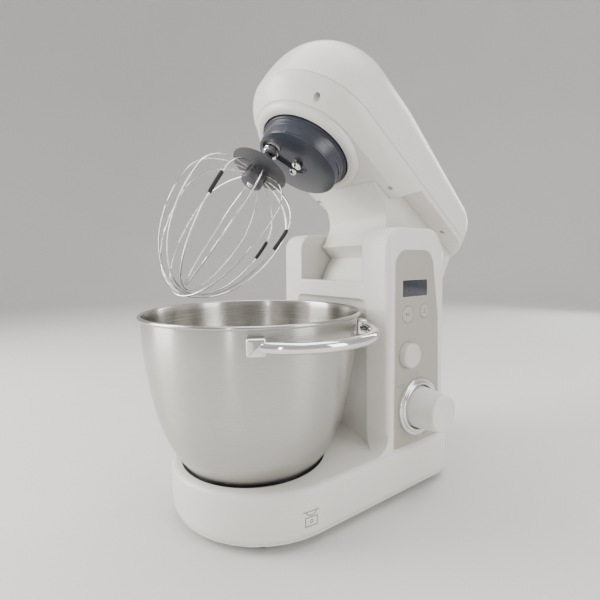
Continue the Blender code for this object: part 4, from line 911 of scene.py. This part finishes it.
# %% Lower cover
def step_outline(inset):
    """Side outline of the space for the cheeks: an arc round the hinge that rises to a flat ledge."""
    ledge, floor, radius = CARRIER_Z + 0.026 + inset, CARRIER_Z - 0.012, 0.129 + inset
    top = math.pi - math.asin((ledge - HINGE[2]) / radius)
    low = math.pi - math.asin((CARRIER_Z + UNDERSIDE + inset - HINGE[2]) / radius)
    face = arc(HINGE[1:], radius, top, low, 24)
    return np.concatenate([[(0.40, floor), (0.40, ledge)], face, [(face[-1][0], floor)]])


drops = np.linspace(1, 0.12, 24)
outer_rings = [chin_level(v, 0) for v in drops]
rim_rings = [head_level(HEAD_R, SEAM - 0.0008, 0), head_level(HEAD_R - 0.0006, SEAM, 0)]
flat_ring = head_level(HEAD_R - FLARE - 0.0020, UNDERSIDE, 0)
tray = skin(np.stack([flat_ring, *outer_rings, *rim_rings]))
inner_rings = [chin_level(v, 0.0025, 48) for v in np.linspace(1, 0, 12)] + [head_level(HEAD_R - 0.0025,
    SEAM + 0.01, 0.0025, 48)]
inner = carved(skin(np.stack(inner_rings)),
    ("DIFFERENCE", skin(slab(step_outline(0.0025), -0.2, 0.2, 0, 0, "x"))))
SCREW_SEATS = ((0.0585, -0.0455, 0.0240), (0.0660, 0.1930, 0.0305))
SCREWS = [(sx * x, y, seat) for x, y, seat in SCREW_SEATS for sx in (-1, 1)]


def upright(radius, x, y, low, high, steps=48):
    """A round cutter along z."""
    return skin(spun([(0, high), (radius, high), (radius, low), (0, low)], steps) + (x, y, CARRIER_Z), "open")


for x, y, seat in SCREWS:
    inner = carved(inner, ("DIFFERENCE", upright(0.0052, x, y, -0.02, 0.08)))
for sx in (-1, 1):
    inner = carved(inner, ("DIFFERENCE", upright(0.0048, sx * 0.0640, 0.086, -0.02, 0.0190)))
steps = [("DIFFERENCE", skin(slab(step_outline(0), -0.2, 0.2, 0, 0, "x"))), ("DIFFERENCE", inner)]
steps += [("DIFFERENCE", upright(0.0545, 0, 0, -0.02, 0.06, 144))]
for x, y, seat in SCREWS:
    steps += [("DIFFERENCE", upright(0.0034, x, y, -0.02, seat)),
        ("DIFFERENCE", upright(0.0018, x, y, -0.02, 0.08, 24))]
steps += [("DIFFERENCE", upright(0.0031, sx * 0.0640, 0.086, -0.02, 0.0170)) for sx in (-1, 1)]
piece("head_tray", carved(tray, *steps), "head", shell_white.material, ["head_lower_cover"], on_head)

# %% [markdown]
# ## Collar, neck and hinge
#
# The collar is a soft ring round the drive. The neck is a deep hollow arm whose barrel turns in the pillar's well,
# so its side outline is mostly an arc about the hinge, drawn out sideways with rounded edges.

# %% Collar ring
collar_profile = np.concatenate(
    [
        [(0.0545, CARRIER_Z + 0.0077), (0.0655, CARRIER_Z + 0.0077)],
        arc((0.0590, CARRIER_Z + 0.0066), 0.0063, math.radians(5), math.radians(-80), 10),
        [(0.0560, CARRIER_Z + 0.0001), (0.0549, CARRIER_Z + 0.0004), (0.0545, CARRIER_Z + 0.0012)],
    ]
)
piece("drive_collar", skin(spun(collar_profile, 144), "loop"), "head", shell_white.material,
    ["collar_ring"], on_head)

# %% Neck
underside_z, ledge_z, step_r = CARRIER_Z + UNDERSIDE - 0.0003, CARRIER_Z + 0.026 - 0.0003, 0.129 - 0.0003
throat = smooth_through([(0.0670, underside_z), (0.086, 0.2830), (0.101, 0.2760), (0.112, 0.2665),
    (0.1170, 0.2550), (0.1184, 0.2450)], 6)
barrel = arc(HINGE[1:], 0.0705, math.radians(171), math.radians(216), 26)
heel = [(HINGE[1] - 0.040, barrel[-1][1]), (HINGE[1] - 0.006, HINGE[2] - 0.0245),
    (HINGE[1] + 0.020, HINGE[2] - 0.020), (0.2519, HINGE[2] + 0.002)]
heel = smooth_through(heel, 6)
top_angle = math.pi - math.asin((ledge_z - HINGE[2]) / step_r)
low_angle = math.pi - math.asin((underside_z - HINGE[2]) / step_r)
under_head = arc(HINGE[1:], step_r, top_angle, low_angle, 16)
neck_side = np.concatenate([throat, [(0.1184, 0.2325)], barrel, heel[1:],
    [(0.2519, HINGE[2] + 0.016), (0.2439, ledge_z)], under_head])
taller = neck_side + np.where(neck_side[:, 1:] > underside_z - 0.0001, (0.0, 0.0030), (0.0, 0.0))
neck = carved(
    skin(slab(taller, -0.0525, 0.0525, 0.0022, 0.0022, "x", 6)), ("INTERSECT",
        skin(slab(neck_side, -0.06, 0.06, 0, 0, "x")))
)
hollow = np.array([(0.125, 0.245), (0.149, 0.232), (0.170, 0.20), (0.205, 0.205), (0.244, 0.225),
    (0.238, 0.33), (0.125, 0.33)])
neck = carved(neck, ("DIFFERENCE", skin(slab(hollow, -0.0495, 0.0495, 0, 0, "x"))))
boss = side_bore(0.0135, *HINGE[1:], -0.051, 0.051, 64)
bore = side_bore(0.0053, *HINGE[1:], -0.07, 0.07)
piece("neck_arm", carved(neck, ("UNION", boss), ("DIFFERENCE", bore)), "head", shell_white.material,
    ["head_neck"], on_head, 25)

# %% [markdown]
# ## The planetary drive
#
# A dark cup turns under the head and carries the tool's shaft off its centre. An oblong trench is sunk into its face
# between the two shafts, and shallow bands are cut into its wall.

# %% Cup and its trench
ORBIT = 0.0330
ORBIT_ANGLE = math.radians(-112)
tool_xy = ORBIT * np.array([math.cos(ORBIT_ANGLE), math.sin(ORBIT_ANGLE)])
FLOOR = -0.0198
cup_profile = np.array(
    [(0.0, -0.0125), (0.0425, -0.0125), (0.0462, -0.0095), (0.0500, 0.0028), (0.0528, 0.0030),
        (0.0530, 0.0026), (0.0530, -0.0012)]
    + [(0.0526, -0.0017), (0.0508, -0.0020), (0.0506, -0.0024), (0.0500, -0.0075), (0.0497, -0.0078),
        (0.0496, -0.0084)]
    + [(0.0490, FLOOR + 0.0016), (0.0485, FLOOR + 0.0005), (0.0474, FLOOR), (0.0, FLOOR)]
)
cup = skin(spun(np.column_stack([cup_profile[:, 0], cup_profile[:, 1] + CARRIER_Z]), 144), "open")


def capsule(first, second, radius, count=24):
    """An outline round two circles of one radius and the straight lines between them."""
    way = np.subtract(second, first)
    turn = math.atan2(way[1], way[0])
    near = arc(first, radius, turn + math.pi / 2, turn + 1.5 * math.pi, count)
    return np.concatenate([near, arc(second, radius, turn - math.pi / 2, turn + math.pi / 2, count)])


trench = skin(slab(capsule((0, 0), tuple(tool_xy), 0.0128), CARRIER_Z + FLOOR - 0.01,
    CARRIER_Z + FLOOR + 0.0036, 0, 0.0012))


def wall_band(start, end, depth, low, high):
    """A cutter for a shallow band in the cup's wall, between two angles and two heights."""
    turn = (math.radians(start), math.radians(end), 40)
    ring = np.concatenate([arc((0, 0), 0.060, *turn), arc((0, 0), 0.0492 - depth, turn[1], turn[0], 40)])
    return skin(slab(ring, CARRIER_Z + low, CARRIER_Z + high))


bands = [wall_band(20, 78, 0.0007, FLOOR - 0.002, -0.0112),
    wall_band(-20, 8, 0.0007, FLOOR - 0.002, FLOOR + 0.0022)]
bands += [wall_band(140, 196, 0.0007, FLOOR - 0.002, -0.0112),
    wall_band(-60, -42, 0.0007, FLOOR - 0.002, FLOOR + 0.0022)]
bands = [("DIFFERENCE", band) for band in bands]
tool_hole = upright(0.0078, *tool_xy, -0.03, 0.02)
shaft_hole = upright(0.0063, 0, 0, -0.03, 0.02)
cup = carved(cup, ("DIFFERENCE", trench), ("DIFFERENCE", tool_hole), ("DIFFERENCE", shaft_hole), *bands)
piece("planet_cup", cup, "planetary", drive_slate.material, ["planetary_carrier"], on_head)

# %% Shafts
def upright_spun(name, profile, at, body, finish, node, steps=64):
    """Puts in a lathe shape whose upright axis stands at a place under the head."""
    grid = spun(profile, steps) + (at[0], at[1], CARRIER_Z)
    return piece(name, skin(grid, "open"), body, finish.material, [node], on_head)


ball = arc((0, -0.0285), 0.0045, -math.pi / 2, math.radians(55), 14)
drive_profile = [(0, 0.064), (0.006, 0.064), (0.006, -0.0215), (0.0056, -0.0222), (0.0030, -0.0240),
    (0.0026, -0.0248)]
drive_profile = np.concatenate([drive_profile, ball[::-1]])
upright_spun("drive_spindle", drive_profile, (0, 0), "planetary", bright_chrome, "drive_shaft")
flange = FLOOR - 0.0003
tool_profile = [(0, 0.0200), (0.004, 0.0200), (0.004, flange), (0.0086, flange), (0.0090, flange - 0.0005),
    (0.0090, flange - 0.0034)]
tool_profile += [(0.0084, flange - 0.0040), (0.0084, flange - 0.0048), (0.0088, flange - 0.0053),
    (0.0088, flange - 0.0078), (0.0082, flange - 0.0084)]
tool_profile += [(0.0052, flange - 0.0104), (0.0040, flange - 0.0105), (0.004, -0.0635), (0.003, -0.0645),
    (0, -0.0645)]
tool_grid = spun(tool_profile, 64) + (*tool_xy, CARRIER_Z)
pin_hole = skin(spun([(0, 0.01), (0.0016, 0.01), (0.0016, -0.01), (0, -0.01)], 24, "x") + (*tool_xy,
    CARRIER_Z - 0.058), "open")
piece("tool_spindle", carved(skin(tool_grid, "open"), ("DIFFERENCE", pin_hole)), "whisk_drive",
    bright_chrome.material, ["output_shaft"], on_head)

# %% [markdown]
# ## The whisk
#
# Six loops of spring wire come out of a moulded hub below a drip disc. Each loop is two half ellipses: a short
# shoulder near the hub and a deep end. Short rubber sleeves sit on three of the outer legs, and a rivet closes the
# hub.

# %% Wires
WIRES, WIRE = 6, 0.0009
hub_swing = -math.acos((0.0125 + 0.0008) / 0.0635)
LOW_POINTS = 10
swing_knots = np.linspace(hub_swing, math.pi / 2, LOW_POINTS)


def wire_loop(loop, swing):
    """Points of a loop at angles along it: the reach is a cosine and the drop is a sine, deeper below than above."""
    angle = math.pi * (loop + 0.5) / WIRES
    depth = np.where(np.sin(swing) < 0, 0.046, 0.112 - 0.0024 * loop)
    reach, drop = 0.0635 * np.cos(swing), 0.105 + depth * np.sin(swing)
    return np.stack([tool_xy[0] + reach * math.cos(angle), tool_xy[1] + reach * math.sin(angle),
        CARRIER_Z - drop], -1)


swing = np.linspace(hub_swing, math.pi - hub_swing, 150)
cage = joined(*[skin(swept(wire_loop(loop, swing), WIRE, 12)) for loop in range(WIRES)])
piece("whisk_wire_cage", cage, "whisk", wire_steel.material, ["whisk_wires"], on_head)

# %% Sleeves
for letter, loop, flip in (("a", 1, False), ("b", 3, False), ("c", 4, True)):
    span = np.linspace(swing_knots[4] + 0.05, swing_knots[5] - 0.03, 24)
    path = wire_loop(loop, math.pi - span if flip else span)
    bulge = 0.00205 - 0.0004 * np.abs(np.linspace(-1, 1, 24)) ** 12
    tube, inside = swept(path, bulge, 20), swept(path, 0.00100, 20)
    grid = np.concatenate([tube, inside[::-1]])
    piece("sleeve_" + letter, skin(grid, "loop"), "whisk", black_rubber.material,
        ["wire_sleeve_" + letter], on_head)

# %% Hub and rivet
top, bottom = -0.0515, -0.0725
disc_r = np.linspace(0.0100, 0.0325, 12)
disc_top = np.column_stack([disc_r, top + 0.0034 - 0.0018 * (disc_r - 0.01) / 0.0225])
hub_profile = [(0, -0.0655), (0.0043, -0.0655), (0.0043, -0.0323), (0.0070, -0.0323), (0.0075, -0.0328),
    (0.0078, top + 0.0065), (0.0084, top + 0.0044)]
hub_profile = np.concatenate([hub_profile, disc_top,
    [(0.0333, top + 0.0010), (0.0331, top + 0.0003), (0.0325, top)]])
hub_low = [(0.0145, top), (0.0125, top - 0.0008), (0.0125, bottom + 0.0030), (0.0119, bottom + 0.0016),
    (0.0100, bottom + 0.0003), (0.0085, bottom), (0, bottom)]
hub_profile = np.concatenate([hub_profile, hub_low])
hub = skin(spun(hub_profile, 96) + (*tool_xy, CARRIER_Z), "open")
slot_cut = [(-0.0068, -0.0018, 0), (0.0068, -0.0018, 0), (0.0068, 0.0018, 0), (-0.0068, 0.0018, 0)]
slot_cut = skin(slab(eased(slot_cut) + tool_xy, CARRIER_Z - 0.060, CARRIER_Z - 0.030))
hub_steps = [("DIFFERENCE", slot_cut)]
for loop in range(WIRES * 2):
    a = math.pi * (loop + 0.5) / WIRES
    mouth = capsule((0.0128, -0.0002), (0.0128, 0.0002), 0.0020, 10)
    c, s = math.cos(a), math.sin(a)
    mouth = np.stack([mouth[:, 0] * c - mouth[:, 1] * s, mouth[:, 0] * s + mouth[:, 1] * c], -1) + tool_xy
    hub_steps.append(("DIFFERENCE", skin(slab(mouth, CARRIER_Z - 0.0640, CARRIER_Z - 0.0555))))
piece("whisk_boss", carved(hub, *hub_steps), "whisk", hub_charcoal.material, ["whisk_hub"],
    on_head)
rivet_profile = np.concatenate([[(0, bottom - 0.0003), (0.0036, bottom - 0.0003)],
    [(0.0034, -0.0735), (0.0024, -0.0746), (0.0012, -0.0750), (0, -0.0751)]])
upright_spun("whisk_pin_head", rivet_profile, tool_xy, "whisk", bright_chrome, "whisk_rivet", 40)

# %% [markdown]
# ## What stays from the frame
#
# Gears, shafts, boards and screws keep the frame's meshes, and get finishes: the teeth are acetal and iron, the
# boards are green laminate, and the feet are rubber.

# %% Finishes for carried pieces
laminate = Finish("laminate", Roughness=0.5)
trace = laminate.noise(220.0, 1.0).step(0.54, 0.03)
laminate.set("Base Color", laminate.mix(trace, paint(0.015, 0.11, 0.05), paint(0.04, 0.20, 0.09)))
feet = ["foot_front_left", "foot_front_right", "foot_rear_left", "foot_rear_right"]
carried = {
    "acetal": (pale_acetal, ["ring_gear", "planet_bush", "main_bearing", "large_pulley",
        "hinge_bush_left", "hinge_bush_right"]),
    "iron": (iron, ["main_gear", "planet_gear", "countershaft", "motor_pulley", "motor_shaft",
        "motor_stator", "motor_end_plate", "gearbox_plate", "hinge_pin", "output_cross_pin"]),
    "screws": (iron, [n for n in frame["nodes"] if n.startswith(("head_screw", "plate_screw"))]),
    "copper": (wound_copper, ["motor_rotor"]),
    "rubber": (black_rubber, ["drive_belt", "bowl_pad", *feet]),
    "black": (black_plastic, ["bowl_lock_ring", "speed_encoder", "cord_gland"]),
    "steel": (bowl_steel, ["bowl_foot_ring"]),
    "white": (shell_white, ["bottom_plate"]),
    "board": (laminate, ["power_board", "display_board"]),
}
for finish, nodes in carried.values():
    for node in nodes:
        data = frame["nodes"][node].data
        data.materials.clear()
        data.materials.append(finish.material)
print("finished", sum(len(nodes) for _, nodes in carried.values()), "carried nodes")

# %% [markdown]
# ## Floor, light and camera
#
# A pale round sweep with no corner stands behind the mixer on every side. A tall soft light on the left is the main
# one, a weaker one stands on the right, and narrow strips draw the long reflections down the bowl.

# %% Sweep
CAMERA_TURN = math.radians(54.28)
ahead = np.array([-math.sin(CAMERA_TURN), math.cos(CAMERA_TURN)])
beside = np.array([math.cos(CAMERA_TURN), math.sin(CAMERA_TURN)])
bend = np.linspace(0, math.pi / 2, 24)
reach = np.concatenate([np.linspace(0.0, 2.6, 20), 2.6 + 1.2 * np.sin(bend[1:]), np.full(5, 3.8)])
rise = np.concatenate([np.zeros(20), 1.2 * (1 - np.cos(bend[1:])), np.linspace(1.5, 3.6, 5)])
floor_mesh = raw_mesh("studio_floor", spun(np.column_stack([reach, rise]), 128), [quads(len(reach), 128)])
floor_mesh.flip_normals()
floor_mesh.shade_smooth()
paper = Finish("paper", Roughness=0.75)
paper.set("Base Color", paper.mix(paper.noise(3.0, 4.0), paint(0.70, 0.69, 0.67), paint(0.74, 0.73, 0.71)))
floor_mesh.materials.append(paper.material)
floor = bpy.data.objects.new("studio_floor", floor_mesh)
bpy.context.scene.collection.objects.link(floor)
print("floor of", len(floor_mesh.polygons), "faces")


# %% Lights
def soft_light(name, place, target, width, height, power, tone=(1, 1, 1)):
    """An area light that faces a target."""
    light = bpy.data.lights.new(name, "AREA")
    light.shape, light.size, light.size_y = "RECTANGLE", width, height
    light.energy, light.color = power, tone
    lamp = bpy.data.objects.new(name, light)
    lamp.location = place
    lamp.rotation_euler = Vector(np.subtract(place, target)).to_track_quat("Z", "Y").to_euler()
    bpy.context.scene.collection.objects.link(lamp)


def around(side, forward, up):
    """A place given by how far it is to the camera's right, ahead of it and above the floor."""
    place = beside * side + ahead * forward
    return (float(place[0]), float(place[1]), up)


middle = (0, 0, 0.25)
soft_light("window", around(-1.50, -0.10, 0.80), middle, 0.75, 1.5, 40, (1.0, 0.985, 0.96))
soft_light("fill", around(1.45, -1.00, 0.75), middle, 0.70, 1.3, 15, (1.0, 0.99, 0.98))
soft_light("overhead", around(0.1, 0.1, 2.0), middle, 1.8, 1.4, 30)
soft_light("strip", around(-0.55, -1.75, 0.55), (0, 0, 0.12), 0.10, 1.1, 4.0)
soft_light("rim", around(1.30, 1.30, 0.90), middle, 0.30, 1.2, 9)
world = bpy.data.worlds.new("studio")
world.use_nodes = True
world.node_tree.nodes["Background"].inputs["Color"].default_value = (0.93, 0.94, 0.96, 1)
world.node_tree.nodes["Background"].inputs["Strength"].default_value = 0.75
bpy.context.scene.world = world
print(len(bpy.data.lights), "soft lights")

# %% Camera
PITCH, ROLL = math.radians(3.62), math.radians(-0.687)
LENS_MM = 24.582
forward = np.array([ahead[0] * math.cos(PITCH), ahead[1] * math.cos(PITCH), -math.sin(PITCH)])
right = np.array([beside[0], beside[1], 0.0])
up = np.cross(right, forward)
right, up = math.cos(ROLL) * right + math.sin(ROLL) * up, -math.sin(ROLL) * right + math.cos(ROLL) * up
camera_data = bpy.data.cameras.new("camera")
camera_data.sensor_width = 36.0
camera_data.lens = LENS_MM
camera_data.shift_x, camera_data.shift_y = 0.0126, -0.0206
camera_data.clip_start = 0.01
camera = bpy.data.objects.new("camera", camera_data)
stand = np.array([0.3861, -0.2225, 0.2644]) + HOME
pose = np.identity(4)
pose[:3] = np.column_stack([right, up, -forward, stand])
camera.matrix_world = Matrix(pose)
bpy.context.scene.collection.objects.link(camera)
bpy.context.scene.camera = camera
print("camera at", stand.round(4), "lens", round(camera_data.lens, 2))
